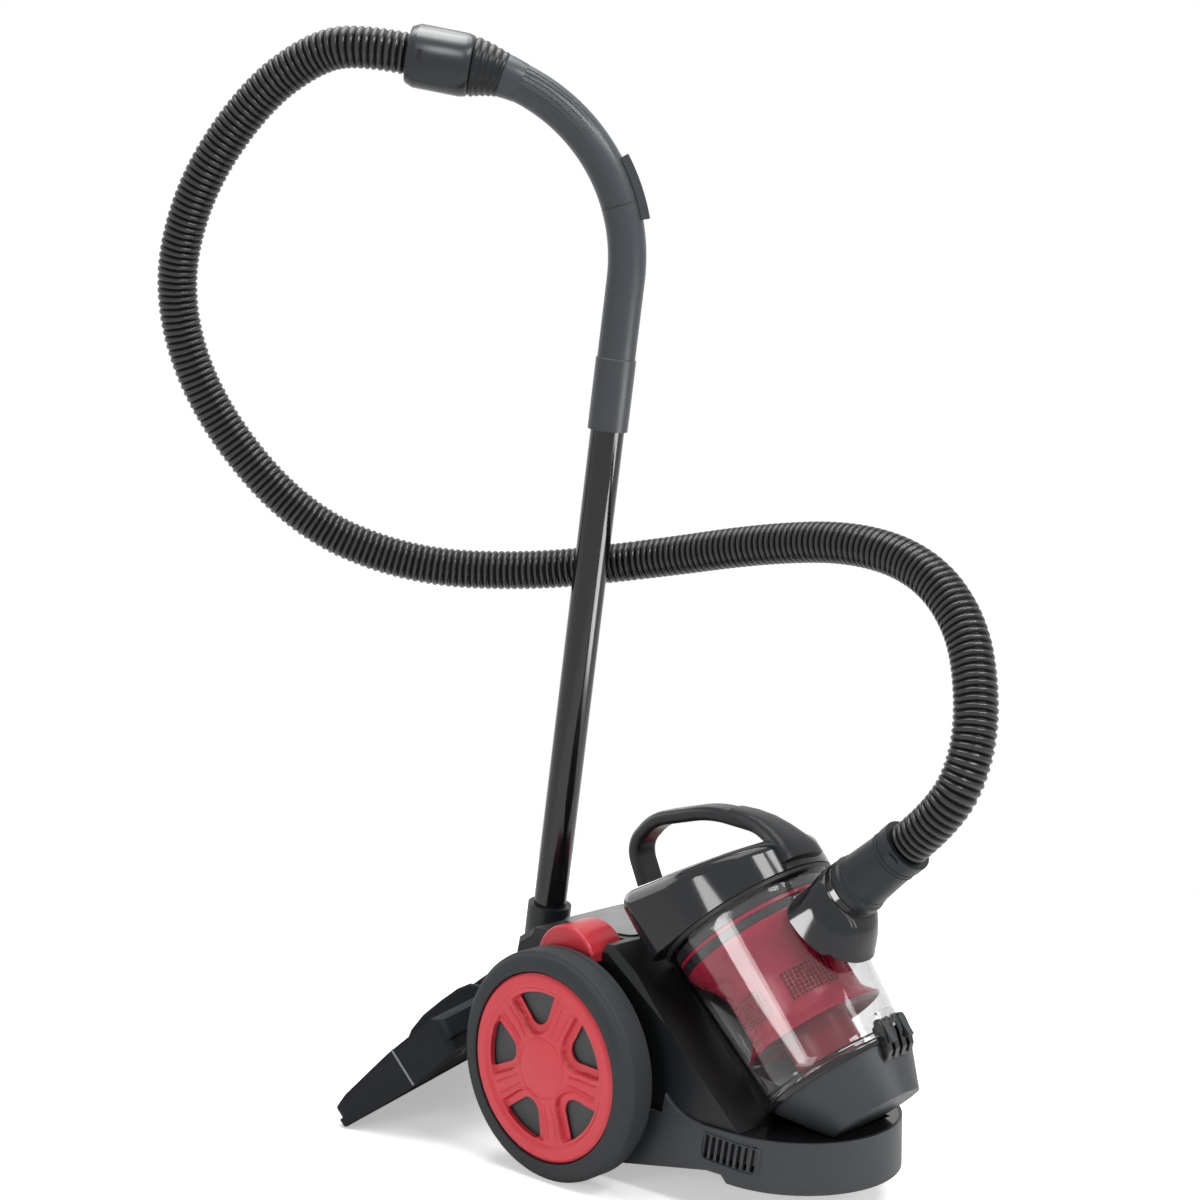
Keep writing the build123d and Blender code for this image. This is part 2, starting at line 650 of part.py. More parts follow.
# Cyclone in the cup: a red body with mesh windows and a skirt, a lower cone and a pleated filter
with BuildPart() as cyclone_body:
    with BuildSketch(cup_side_plane):
        with BuildLine():
            Polyline((30, 57), (59, 57), (59, 60), (CYCLONE_R, 73), (CYCLONE_R, 137), (75.4, 137), (75.4, 140.5),
                     (CYCLONE_R - 3, 140.5), (CYCLONE_R - 3, 64), (30, 64), close=True)
        make_face()
    revolve(axis=cup_axis)
    for step in range(CYCLONE_WINDOWS):
        turn = radians(360 / CYCLONE_WINDOWS * (step + 0.5))
        outward = cup_front * cos(turn) + Vector(0, sin(turn), 0)
        along = cup_front * -sin(turn) + Vector(0, cos(turn), 0)
        with BuildSketch(Plane(origin=Vector(*CUP_FOOT) + cup_up * 105, x_dir=along, z_dir=outward)):
            RectangleRounded(25, 52, 4)
        extrude(amount=60, mode=Mode.SUBTRACT)
save(cyclone_body, "cyclone_body")

cyclone_mesh = turned(
    cup_side_plane, cup_axis,
    (CYCLONE_R - 4, 64), (CYCLONE_R - 3, 64), (CYCLONE_R - 3, 138), (CYCLONE_R - 4, 138))
save(cyclone_mesh, "cyclone_mesh")

cyclone_cone = turned(cup_side_plane, cup_axis, (31.5, 57), (34, 57), (30, 4), (27.5, 4))
save(cyclone_cone, "cyclone_cone")

with BuildPart() as pleated_filter:
    with BuildSketch(cup_plane.offset(64)):
        with BuildLine():
            Polyline(*[((30, 40)[fold % 2] * cos(radians(360 * fold / 2 / PLEATS)),
                        (30, 40)[fold % 2] * sin(radians(360 * fold / 2 / PLEATS))) for fold in range(2 * PLEATS)],
                     close=True)
        make_face()
        Circle(22, mode=Mode.SUBTRACT)
    extrude(amount=70)
save(pleated_filter, "pleated_filter")

lid_seal = turned(cup_side_plane, cup_axis, (70, 141), (75.9, 141), (76.6, 149), (70, 149))
save(lid_seal, "lid_seal")

# Lid: round in front, square behind, cut by a sloping top with a rounded edge
top_slope = radians(LID_SLOPE)
lid_top_plane = Plane(origin=(LID_TOP_X, 0, LID_TOP_Z), x_dir=(cos(top_slope), 0, sin(top_slope)),
                      z_dir=(-sin(top_slope), 0, cos(top_slope)))


def lid_block(start, inset, edge):
    """The lid's outer form, drawn inwards by an inset, from a height on the cup's axis upwards."""
    with BuildPart() as block:
        half = LID_R - inset
        back = inset - LID_BACK
        corner = LID_CORNER - inset
        with BuildSketch(cup_plane.offset(start)):
            with BuildLine():
                Line((0, half), (back + corner, half))
                RadiusArc((back + corner, half), (back, half - corner), -corner)
                Line((back, half - corner), (back, corner - half))
                RadiusArc((back, corner - half), (back + corner, -half), -corner)
                Line((back + corner, -half), (0, -half))
                ThreePointArc((0, -half), (half, 0), (0, half))
            make_face()
        extrude(amount=110)
        split(bisect_by=lid_top_plane.offset(-inset), keep=Keep.BOTTOM)
        top = block.faces().sort_by(Axis(lid_top_plane.origin, lid_top_plane.z_dir))[-1]
        fillet(top.edges(), edge)
    return block


lid_form = lid_block(CUP_LENGTH, 0, LID_EDGE)
with BuildPart() as lid_void:
    add(lid_block(CUP_LENGTH + WALL, WALL + 1, LID_EDGE - WALL - 1).part)
    with BuildSketch(lid_top_plane.offset(-BUTTON_DEEP - 4)):
        with Locations((BUTTON_AT, 0)):
            Rectangle(BUTTON_LONG + 8, BUTTON_WIDE + 8)
    extrude(amount=60, mode=Mode.SUBTRACT)

with BuildPart() as cup_lid:
    add(lid_form.part)
    add(lid_void.part, mode=Mode.SUBTRACT)
    with BuildSketch(lid_top_plane.offset(-BUTTON_DEEP)):
        with Locations((BUTTON_AT, 0)):
            RectangleRounded(BUTTON_LONG + 1, BUTTON_WIDE + 1, 4)
    extrude(amount=60, mode=Mode.SUBTRACT)
    with BuildSketch(cup_plane.offset(149)):
        Circle(74)
    extrude(amount=CUP_LENGTH - 149)
    with BuildSketch(cup_plane.offset(148)):
        Circle(40)
    extrude(amount=WALL + 9, mode=Mode.SUBTRACT)
save(cup_lid, "cup_lid")

with BuildPart() as release_button:
    with BuildSketch(lid_top_plane.offset(-BUTTON_DEEP + 4)):
        with Locations((BUTTON_AT, 0)):
            RectangleRounded(BUTTON_LONG, BUTTON_WIDE, 3.5)
    extrude(amount=BUTTON_DEEP - 4 + 3)
    crown = release_button.faces().sort_by(Axis(lid_top_plane.origin, lid_top_plane.z_dir))[-1]
    fillet(crown.edges(), 1.5)
save(release_button, "release_button")

with BuildLine(Plane.XZ) as handle_line:
    FilletPolyline((80, 236), (14, 228), (-9, 282), (18, 309), (85, 324.5), (138, 319), (160, 306),
                   radius=[12, 24, 50, 120, 40])
handle_path = handle_line.wires()[0]
with BuildPart() as carry_handle:
    with BuildSketch(Plane(origin=handle_path @ 0, x_dir=(0, 1, 0), z_dir=handle_path % 0)):
        RectangleRounded(HANDLE_WIDE, HANDLE_THICK, 5)
    sweep(path=handle_path)
    add(lid_form.part, mode=Mode.SUBTRACT)
save(carry_handle, "carry_handle")

# Inlet elbow on the cup's front and the swivelling hose connector in it
with BuildPart() as inlet_elbow:
    with BuildSketch(inlet_plane.offset(40)):
        Circle(INLET_R)
        with Locations((0, 30)):
            Rectangle(2 * INLET_R, 60)
    extrude(amount=64)
    fillet(inlet_elbow.faces().sort_by(inlet_axis)[-1].edges(), 10)
    with BuildSketch(inlet_plane.offset(60)):
        Circle(27)
    extrude(amount=SPOUT_END - 60)
    add(cup_form.part, mode=Mode.SUBTRACT)
    add(dust_cup.part, mode=Mode.SUBTRACT)
    add(lid_form.part, mode=Mode.SUBTRACT)
    with BuildSketch(inlet_plane.offset(30)):
        Circle(INLET_BORE)
    extrude(amount=120, mode=Mode.SUBTRACT)
save(inlet_elbow, "inlet_elbow")

hose_connector = turned(
    inlet_side_plane, inlet_axis,
    (90, 15.5), (90, INLET_BORE - RUN_FIT), (SPOUT_END + 0.3, INLET_BORE - RUN_FIT), (SPOUT_END + 0.3, 26.5),
    (121, 26.5), (123, 24.5), (172, 22), (172, 23.4), (CONNECTOR_END, 23.4), (CONNECTOR_END, 15.5))
save(hose_connector, "hose_connector")

# Bottom flap: a bowl that is deeper at the front, hung on a pin and held by a latch tab
with BuildPart() as bottom_flap:
    add(flap_cone(0).part)
    add(flap_cone(-3).part, mode=Mode.SUBTRACT)
    for side in (-1, 1):
        with BuildSketch(cup_plane.offset(-10)):
            with Locations((72, side * 12)):
                Rectangle(12, 7)
        extrude(amount=9.7)
        with BuildSketch(cup_plane.offset(-0.4)):
            with Locations((74, side * 12)):
                Rectangle(8, 7)
        extrude(amount=9)
    add(flap_cone(-3).part, mode=Mode.SUBTRACT)
    with BuildSketch(cup_side_plane):
        with Locations((HINGE_T, HINGE_S)):
            Circle(HINGE_R)
    extrude(amount=30, both=True, mode=Mode.SUBTRACT)
save(bottom_flap, "bottom_flap")

with BuildPart() as flap_pin:
    with BuildSketch(cup_side_plane):
        with Locations((HINGE_T, HINGE_S)):
            Circle(HINGE_R)
    extrude(amount=16, both=True)
save(flap_pin, "flap_pin")

flap_seal = turned(cup_side_plane, cup_axis, (60, -2), (65, -2), (66.5, 0), (60, 0))
save(flap_seal, "flap_seal")

with BuildPart() as flap_latch:
    with BuildSketch(cup_plane.offset(0)):
        with Locations((-FLAP_R - 1.15, 0)):
            Rectangle(2.2, 16)
    extrude(amount=8)
    with BuildSketch(cup_plane.offset(4.2)):
        with Locations((-FLAP_R, 0)):
            Rectangle(4.9, 16)
    extrude(amount=3.3)
    add(dust_cup.part, mode=Mode.SUBTRACT)
save(flap_latch, "flap_latch")


# Hose: ribs on a bore along a route from the connector, behind the wand and round to the grip
def ribbed(path, ribs, stretch, crest, valley):
    """Ruled lofts with flat-topped ribs along a path, joined end to end in stretches of a few ribs."""
    with BuildPart() as tube:
        for first in range(0, ribs, stretch):
            for station in range(4 * first, 4 * (first + stretch) + 1):
                at = path.length * station / (4 * ribs)
                spot = path.position_at(at, PositionMode.LENGTH)
                along = path.tangent_at(at, PositionMode.LENGTH)
                across = STEADY - along * STEADY.dot(along)
                with BuildSketch(Plane(origin=spot, x_dir=across, z_dir=along)):
                    Circle((valley, crest, crest, valley)[station % 4])
            loft(ruled=True)
    return tube


def bore(piece, path, radius):
    """Takes a round bore along a path out of a piece."""
    along = path % 0
    with BuildPart() as hollow:
        add(piece.part)
        with BuildSketch(Plane(origin=path @ 0, x_dir=STEADY - along * STEADY.dot(along), z_dir=along)):
            Circle(radius)
        sweep(path=path, mode=Mode.SUBTRACT)
    return hollow


with BuildLine(grip_plane) as grip_line:
    Line((0, GRIP_LOW), (0, GRIP_BEND_START))
    JernArc((0, GRIP_BEND_START), (0, 1), GRIP_BEND_R, -GRIP_BEND)
grip_path = grip_line.wires()[0]
with BuildLine(grip_plane) as collar_line:
    CenterArc((GRIP_BEND_R, GRIP_BEND_START), GRIP_BEND_R, 180 - GRIP_BEND, GRIP_BEND - CUFF_BEND)
collar_path = collar_line.wires()[0]
cuff_start = collar_path @ 1
cuff_dir = collar_path % 1
cuff_plane = Plane(origin=cuff_start, x_dir=cuff_dir, z_dir=grip_plane.z_dir)
cuff_axis = Axis(cuff_start, cuff_dir)
cuff_end = cuff_start + cuff_dir * CUFF_LENGTH
hose_start = inlet_centre + cup_front * CONNECTOR_END
route = [hose_start, hose_start + cup_front * 48, *[Vector(*point) for point in HOSE_POINTS],
         cuff_end + cuff_dir * 42, cuff_end]
radii = []
for before, corner, after in zip(route, route[1:], route[2:]):
    run = min((corner - before).length, (after - corner).length)
    half_turn = radians((corner - before).get_angle(after - corner)) / 2
    radii.append(0.45 * run / tan(half_turn))
print("hose radii", [round(radius) for radius in radii])
with BuildLine() as hose_line:
    FilletPolyline(*route, radius=radii)
hose_path = hose_line.wires()[0]
print("hose length", round(hose_path.length))
hose = bore(ribbed(hose_path, HOSE_RIBS, HOSE_STRETCH, HOSE_R, HOSE_VALLEY_R), hose_path, HOSE_BORE_R)
print("hose volume", round(hose.part.volume), hose.part.is_valid)
save(hose, "hose")

# Grip: socket on the tube, bent handle, ribbed collar, swivelling cuff and a sliding air valve
with BuildPart() as grip:
    with BuildSketch(wand_plane.offset(GRIP_LOW)):
        Circle(GRIP_R)
    sweep(path=grip_path)
    with BuildSketch(wand_plane.offset(GRIP_LOW)):
        Circle(SOCKET_R)
    extrude(amount=SOCKET_LONG)
    with BuildSketch(wand_plane.offset(GRIP_LOW)):
        Circle(GRIP_BORE)
    sweep(path=grip_path, mode=Mode.SUBTRACT)
    with BuildSketch(wand_plane.offset(GRIP_LOW)):
        Circle(TUBE_R + SEAT_FIT)
    extrude(amount=TUBE_TOP + 0.5 - GRIP_LOW, mode=Mode.SUBTRACT)
save(grip, "grip")

cuff_collar = bore(ribbed(collar_path, 4, 4, 26, 22), collar_path, GRIP_BORE)
save(cuff_collar, "cuff_collar")

hose_cuff = turned(
    cuff_plane, cuff_axis,
    (0.4, HOSE_BORE_R), (0.4, 25), (3, 27), (8, CUFF_R), (50, CUFF_R), (55, 26), (CUFF_LENGTH, 24.5),
    (CUFF_LENGTH, HOSE_BORE_R))
save(hose_cuff, "hose_cuff")

slider_from = 180 - SLIDER_TO
slider_turn = SLIDER_TO - SLIDER_FROM
slider_in = GRIP_BEND_R + GRIP_R - 4
slider_out = GRIP_BEND_R + GRIP_R + SLIDER_PROUD
with BuildPart() as air_slider:
    with BuildSketch(grip_plane):
        with BuildLine():
            inner = CenterArc((GRIP_BEND_R, GRIP_BEND_START), slider_in, slider_from, slider_turn)
            outer = CenterArc((GRIP_BEND_R, GRIP_BEND_START), slider_out, slider_from, slider_turn)
            Line(inner @ 0, outer @ 0)
            Line(inner @ 1, outer @ 1)
        make_face()
    extrude(amount=9, both=True)
    with BuildSketch(wand_plane.offset(GRIP_LOW)):
        Circle(GRIP_R + 0.3)
    sweep(path=grip_path, mode=Mode.SUBTRACT)
save(air_slider, "air_slider")

# Wand tube and the neck that carries the floor head and the parking hook
with BuildPart() as wand_tube:
    with BuildSketch(wand_plane.offset(TUBE_LOW)):
        Circle(TUBE_R)
        Circle(TUBE_R - TUBE_WALL, mode=Mode.SUBTRACT)
    extrude(amount=TUBE_TOP - TUBE_LOW)
save(wand_tube, "wand_tube")

pivot = Vector(*HEAD_PIVOT)
foot = Vector(*WAND_FOOT)
with BuildLine() as elbow_line:
    FilletPolyline(foot + wand_up * -38, foot + wand_up * NECK_BEND, pivot, radius=[38])
elbow_path = elbow_line.wires()[0]
with BuildPart() as neck:
    with BuildSketch(wand_plane.offset(-50)):
        Circle(NECK_SOCKET_R)
    extrude(amount=52)
    with BuildSketch(Plane(origin=elbow_path @ 0, x_dir=wand_ahead, z_dir=elbow_path % 0)):
        Circle(NECK_R)
    sweep(path=elbow_path)
    with BuildSketch(Plane(origin=pivot, x_dir=toe_dir, z_dir=head_across)):
        Circle(BARREL_R)
    extrude(amount=BARREL_HALF, both=True)
    with BuildSketch(wand_plane.offset(BRACKET_LOW + 4.4)):
        with Locations((HOOK_X - 5, 0)):
            Rectangle(12, 2 * HOOK_WEB)
        with Locations((HOOK_X + HOOK_THICK / 2, 0)):
            Rectangle(HOOK_THICK, 2 * HOOK_HALF)
    extrude(amount=BRACKET_TALL - 8)
    with BuildSketch(wand_plane.offset(TUBE_LOW - 0.2)):
        Circle(TUBE_R + SEAT_FIT)
    extrude(amount=60, mode=Mode.SUBTRACT)
    with BuildSketch(wand_plane.offset(-44)):
        Circle(TUBE_R - TUBE_WALL)
    extrude(amount=60, mode=Mode.SUBTRACT)
    with BuildSketch(Plane(origin=pivot, x_dir=toe_dir, z_dir=head_across)):
        Circle(PIN_R + RUN_FIT)
    extrude(amount=BARREL_HALF + 1, both=True, mode=Mode.SUBTRACT)
save(neck, "neck")

with BuildPart() as neck_pin:
    with BuildSketch(Plane(origin=pivot, x_dir=toe_dir, z_dir=head_across)):
        Circle(PIN_R)
    extrude(amount=EAR_OUT, both=True)
save(neck_pin, "neck_pin")


# Floor head: shell, sole plate with its suction slot, rocker pedal, brush strip and two rollers
def across_bar(x, z, radius, start, end):
    """A round bar across the head at a place in its side view."""
    with BuildPart() as bar:
        with BuildSketch(head_side_plane.offset(start)):
            with Locations((x, z)):
                Circle(radius)
        extrude(amount=end - start)
    return bar


def head_slab(half, *outline):
    """A slab across the head from its side outline."""
    with BuildPart() as slab:
        with BuildSketch(head_side_plane):
            with BuildLine():
                Polyline(*outline, close=True)
            make_face()
        extrude(amount=half, both=True)
    return slab


head_axis = Axis(HEAD_PIVOT, head_up)
with BuildPart() as head_shell:
    add(head_slab(HEAD_HALF, (HEAD_HEEL, SHELL_Z), (HEAD_HEEL, 4), (HEAD_HEEL + 8, 11), (45, 9), (110, 2),
                  (128, -3), (HEAD_TOE, -8), (HEAD_TOE, SHELL_Z)).part)
    fillet(head_shell.edges().filter_by(head_axis), 10)
    for side in (-1, 1):
        with BuildSketch(head_side_plane.offset(side * (EAR_OUT + 3))):
            with BuildLine():
                Polyline((6, SHELL_Z), (6, 7), (45, 5.5), (110, -1.5), (124, -6), (124, SHELL_Z), close=True)
            make_face()
        extrude(amount=side * (HEAD_HALF - 3 - EAR_OUT - 3), mode=Mode.SUBTRACT)
    with BuildSketch(head_plane.offset(SHELL_Z)):
        with Locations((NOTCH_TOE - 40, 0)):
            Rectangle(80, 2 * NOTCH_HALF)
    extrude(amount=60, mode=Mode.SUBTRACT)
    with BuildSketch(head_plane.offset(-4)):
        with Locations((ROCKER_X, 0)):
            Rectangle(ROCKER_LONG + 3, 2 * ROCKER_HALF + 1.2)
    extrude(amount=60, mode=Mode.SUBTRACT)
    add(across_bar(0, 0, PIN_R + SEAT_FIT, -EAR_OUT, EAR_OUT).part, mode=Mode.SUBTRACT)
    add(across_bar(ROCKER_X, 3, 2 + RUN_FIT, -ROCKER_HALF - 4, ROCKER_HALF + 4).part, mode=Mode.SUBTRACT)
save(head_shell, "head_shell")

with BuildPart() as sole_plate:
    add(head_slab(HEAD_HALF, (-22, SHELL_Z), (-22, -25), (41, -30), (128, -23.5), (136, -20.5), (136, SHELL_Z)).part)
    fillet(sole_plate.edges().filter_by(head_axis), 10)
    with BuildSketch(head_plane.offset(-40)):
        with Locations((NOTCH_TOE - 40, 0)):
            Rectangle(80, 2 * NOTCH_HALF)
        with Locations((93, 0)):
            Rectangle(18, 220)
        with Locations((BRUSH_X, 0)):
            Rectangle(BRUSH_THICK + 0.8, 2 * BRUSH_HALF + 0.8)
        with Locations((0, -ROLLER_Y), (0, ROLLER_Y)):
            Rectangle(2 * ROLLER_R + 4, ROLLER_WIDE + 1.4)
    extrude(amount=60, mode=Mode.SUBTRACT)
    for side in (-1, 1):
        add(across_bar(0, ROLLER_Z, ROLLER_PIN, side * ROLLER_Y - 10, side * ROLLER_Y + 10).part)
save(sole_plate, "sole_plate")

for side, name in ((-1, "left"), (1, "right")):
    with BuildPart() as roller:
        add(across_bar(0, ROLLER_Z, ROLLER_R, side * ROLLER_Y - ROLLER_WIDE / 2, side * ROLLER_Y + ROLLER_WIDE / 2).part)
        add(across_bar(0, ROLLER_Z, ROLLER_PIN + RUN_FIT, side * ROLLER_Y - 10, side * ROLLER_Y + 10).part,
            mode=Mode.SUBTRACT)
    save(roller, f"{name}_roller")

with BuildPart() as head_brush:
    with BuildSketch(head_plane.offset(BRUSH_LOW)):
        with Locations((BRUSH_X, 0)):
            Rectangle(BRUSH_THICK, 2 * BRUSH_HALF)
    extrude(amount=BRUSH_TALL)
save(head_brush, "head_brush")

with BuildPart() as head_pedal:
    add(head_slab(ROCKER_HALF, (ROCKER_X - ROCKER_LONG / 2, 1), (ROCKER_X - ROCKER_LONG / 2, 11),
                  (ROCKER_X, 9), (ROCKER_X + ROCKER_LONG / 2, 9), (ROCKER_X + ROCKER_LONG / 2, 1)).part)
    add(across_bar(ROCKER_X, 3, 2, -ROCKER_HALF - 3.5, ROCKER_HALF + 3.5).part)
save(head_pedal, "head_pedal")

# Caster under the nose
caster_x = CASTER_X - CASTER_TRAIL
with BuildPart() as caster_fork:
    with BuildSketch(Plane.XY.offset(PLATE_LOW)):
        with Locations((CASTER_X, 0)):
            Circle(18)
        with Locations((caster_x, 0)):
            Rectangle(24, 25)
    extrude(amount=NOSE_BOTTOM - 0.5 - PLATE_LOW)
    with BuildSketch(Plane.XY.offset(PLATE_LOW)):
        with Locations((CASTER_X, 0)):
            Circle(STEM_R)
    extrude(amount=STEM_TOP - PLATE_LOW)
    with BuildSketch(Plane.XY.offset(CASTER_R - 6)):
        with Locations((caster_x, -11), (caster_x, 11)):
            Rectangle(14, 3)
    extrude(amount=PLATE_LOW - CASTER_R + 6)
    with BuildSketch(Plane.XZ):
        with Locations((caster_x, CASTER_R)):
            Circle(2.5)
    extrude(amount=20, both=True, mode=Mode.SUBTRACT)
save(caster_fork, "caster_fork")

with BuildPart() as caster_axle:
    with BuildSketch(Plane.XZ):
        with Locations((caster_x, CASTER_R)):
            Circle(2.5)
    extrude(amount=12.5, both=True)
save(caster_axle, "caster_axle")

with BuildPart() as caster_wheel:
    with BuildSketch(Plane.XZ):
        with Locations((caster_x, CASTER_R)):
            Circle(CASTER_R)
            Circle(2.5 + RUN_FIT, mode=Mode.SUBTRACT)
    extrude(amount=9, both=True)
    fillet(caster_wheel.edges().filter_by(GeomType.CIRCLE).group_by(SortBy.RADIUS)[-1], 3)
save(caster_wheel, "caster_wheel")
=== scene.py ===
"""Looks of the canister vacuum cleaner: skins on the CAD pieces, hose, wheels, finishes and a white studio."""

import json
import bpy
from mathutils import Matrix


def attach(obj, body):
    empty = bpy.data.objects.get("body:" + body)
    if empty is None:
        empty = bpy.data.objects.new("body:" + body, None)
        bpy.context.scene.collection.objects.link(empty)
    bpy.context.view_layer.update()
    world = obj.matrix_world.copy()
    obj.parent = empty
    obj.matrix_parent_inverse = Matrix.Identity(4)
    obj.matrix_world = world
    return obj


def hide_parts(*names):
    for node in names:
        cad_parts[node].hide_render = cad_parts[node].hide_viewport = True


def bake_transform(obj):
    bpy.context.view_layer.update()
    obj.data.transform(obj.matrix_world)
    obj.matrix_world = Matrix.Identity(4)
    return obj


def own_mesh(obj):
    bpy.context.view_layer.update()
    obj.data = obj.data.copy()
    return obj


bl_info = {
    "name": "Canister Vacuum Cleaner",
    "version": (1, 0, 0),
    "blender": (4, 5, 0),
    "location": "View3D > Sidebar > Vacuum",
    "description": "Builds the visible pieces of the canister vacuum cleaner on its CAD frame",
    "category": "Object",
}

from math import cos, pi, radians, sin, sqrt

import bmesh
import bpy
import numpy as np
from mathutils import Matrix, Vector

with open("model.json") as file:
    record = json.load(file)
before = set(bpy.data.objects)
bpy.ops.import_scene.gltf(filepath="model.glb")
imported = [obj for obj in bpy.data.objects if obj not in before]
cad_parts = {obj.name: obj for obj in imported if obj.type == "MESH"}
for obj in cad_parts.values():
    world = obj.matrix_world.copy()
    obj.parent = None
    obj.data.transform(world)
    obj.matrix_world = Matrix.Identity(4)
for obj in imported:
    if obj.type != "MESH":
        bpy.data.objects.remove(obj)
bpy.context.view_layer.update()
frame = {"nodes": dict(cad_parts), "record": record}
NODES = frame["nodes"]
SLOT = {entry["node"]: entry["material_slot"] for entry in frame["record"]["subparts"]}
BODY = {node: body for body, nodes in frame["record"]["behaviour"]["bodies"].items() for node in nodes}

MM = 0.001
SIDES = (("right", -1), ("left", 1))
WHEEL_R = 0.103
HOSE_R = 0.0185
CUP_FOOT = Vector((0.221, 0, 0.118))
CUP_LEAN = radians(39.5)
CUP_FRONT = Vector((cos(CUP_LEAN), 0, sin(CUP_LEAN)))
CUP_UP = Vector((-sin(CUP_LEAN), 0, cos(CUP_LEAN)))
INLET_HEIGHT = 114
INLET = CUP_FOOT + CUP_UP * (INLET_HEIGHT * MM)
WAND_LEAN = radians(9.43)
WAND_FOOT = Vector((-0.124, 0, 0.205))
WAND_UP = Vector((sin(WAND_LEAN), 0, cos(WAND_LEAN)))
WAND_AHEAD = Vector((cos(WAND_LEAN), 0, -sin(WAND_LEAN)))
GRIP_TURN = radians(43)
GRIP_SIDE = WAND_AHEAD * -cos(GRIP_TURN) + Vector((0, -sin(GRIP_TURN), 0))
GRIP_R = 0.0175
BEND_START = 0.601
BEND_R = 0.17
CUFF_TURN = 86
CUFF_LENGTH = 0.058


def axes(origin, x_dir, z_dir):
    """Matrix of a local frame from its origin, X direction and Z direction."""
    x = Vector(x_dir).normalized()
    z = Vector(z_dir).normalized()
    y = z.cross(x)
    turn = Matrix((x, y, z)).transposed().to_4x4()
    return Matrix.Translation(Vector(origin)) @ turn


def bend_line(degrees):
    """Place on the middle line of the grip's bend, and the direction there, at an angle from the bend's start."""
    c, s = cos(radians(degrees)), sin(radians(degrees))
    centre = WAND_FOOT + GRIP_SIDE * BEND_R * (1 - c) + WAND_UP * (BEND_START + BEND_R * s)
    return centre, GRIP_SIDE * s + WAND_UP * c


def bend_frame(degrees):
    """Frame on the grip's bend at an angle from its start, with Z along the bend."""
    centre, ahead = bend_line(degrees)
    return axes(centre, GRIP_SIDE * cos(radians(degrees)) - WAND_UP * sin(radians(degrees)), ahead)


CUP_FRAME = axes(CUP_FOOT, CUP_FRONT, CUP_UP)
INLET_FRAME = axes(INLET, (0, 1, 0), CUP_FRONT)
CUFF_ROOT, CUFF_OUT = bend_line(CUFF_TURN)
CUFF_END = CUFF_ROOT + CUFF_OUT * CUFF_LENGTH


# Finishes: colour, roughness, grain of the surface, depth of the grain, specular level
FINISHES = {
    "housing_charcoal": ((0.030, 0.033, 0.036), 0.46, 900, 0.12, 0.3),
    # Darker finish of the upper housing: black satin, darkened further by painted shade
    "housing_black_shaded": ((0.008, 0.009, 0.010), 0.4, 900, 0.08, 0.25),
    "lid_charcoal": ((0.011, 0.012, 0.0135), 0.1, 500, 0.02, 0.32),
    "black_gloss": ((0.006, 0.006, 0.007), 0.16, 500, 0.02, 0.5),
    "red_plastic": ((0.475, 0.030, 0.042), 0.26, 700, 0.03, 0.42),
    "cyclone_red": ((0.2, 0.007, 0.022), 0.28, 500, 0.04, 0.2),
    "tyre_grey": ((0.0235, 0.026, 0.028), 0.62, 800, 0.15, 0.25),
    "core_dark": ((0.05, 0.053, 0.055), 0.6, 700, 0.1, 0.3),
    "collar_black": ((0.005, 0.006, 0.007), 0.3, 800, 0.02, 0.32),
    # Darker copy of the cyclone's red for its cone: painted shade
    "cone_red_shaded": ((0.145, 0.005, 0.015), 0.3, 500, 0.04, 0.18),
    "cuff_gloss": ((0.012, 0.0145, 0.017), 0.26, 900, 0.02, 0.38),
    "deck_gloss": ((0.010, 0.011, 0.012), 0.3, 900, 0.03, 0.34),
    "screen_red": ((0.1, 0.004, 0.008), 0.5, 700, 0.05, 0.2),
    "filter_paper": ((0.75, 0.74, 0.7), 0.8, 900, 0.2, 0.2),
    "foam_grey": ((0.2, 0.2, 0.21), 0.9, 600, 0.5, 0.1),
    "seal_black": ((0.012, 0.012, 0.013), 0.45, 700, 0.08, 0.3),
    "wand_black": ((0.004, 0.004, 0.005), 0.14, 500, 0.015, 0.5),
    "hose_black": ((0.006, 0.007, 0.0082), 0.27, 600, 0.01, 0.6),
    "grip_satin": ((0.029, 0.0335, 0.039), 0.34, 900, 0.05, 0.42),
    "connector_grey": ((0.008, 0.010, 0.0115), 0.4, 900, 0.08, 0.35),
    "head_black": ((0.0065, 0.0078, 0.0095), 0.55, 900, 0.1, 0.18),
    "handle_black": ((0.011, 0.012, 0.0135), 0.34, 800, 0.05, 0.25),
    "seam_grey": ((0.16, 0.17, 0.18), 0.5, 900, 0.05, 0.3),
    "motor_plastic": ((0.15, 0.15, 0.16), 0.5, 700, 0.1, 0.4),
    "brush_black": ((0.02, 0.02, 0.02), 0.6, 900, 0.1, 0.3),
    "steel": ((0.6, 0.6, 0.62), 0.28, 900, 0.05, 0.5),
    "mesh_steel": ((0.32, 0.3, 0.3), 0.35, 900, 0.05, 0.5),
    "motor_metal": ((0.6, 0.6, 0.62), 0.35, 700, 0.1, 0.5),
    "spring_steel": ((0.65, 0.65, 0.67), 0.25, 900, 0.05, 0.5),
}
METALS = ("steel", "mesh_steel", "motor_metal", "spring_steel")


# Node helpers
def set_inputs(tree, node, inputs):
    """Gives a node's inputs their values, or links from the outputs of other nodes."""
    for socket, value in inputs.items():
        for item in value if isinstance(value, list) else [value]:
            if isinstance(item, bpy.types.NodeSocket):
                tree.links.new(item, node.inputs[socket])
            else:
                node.inputs[socket].default_value = item


def add_node(tree, kind, inputs, **settings):
    """Adds a node with its settings and inputs, and gives back its outputs."""
    node = tree.nodes.new(kind)
    for name, value in settings.items():
        setattr(node, name, value)
    set_inputs(tree, node, inputs)
    return node.outputs


def math_node(tree, operation, *terms):
    """Result of an operation on one or two terms."""
    return add_node(tree, "ShaderNodeMath", dict(enumerate(terms)), operation=operation)[0]


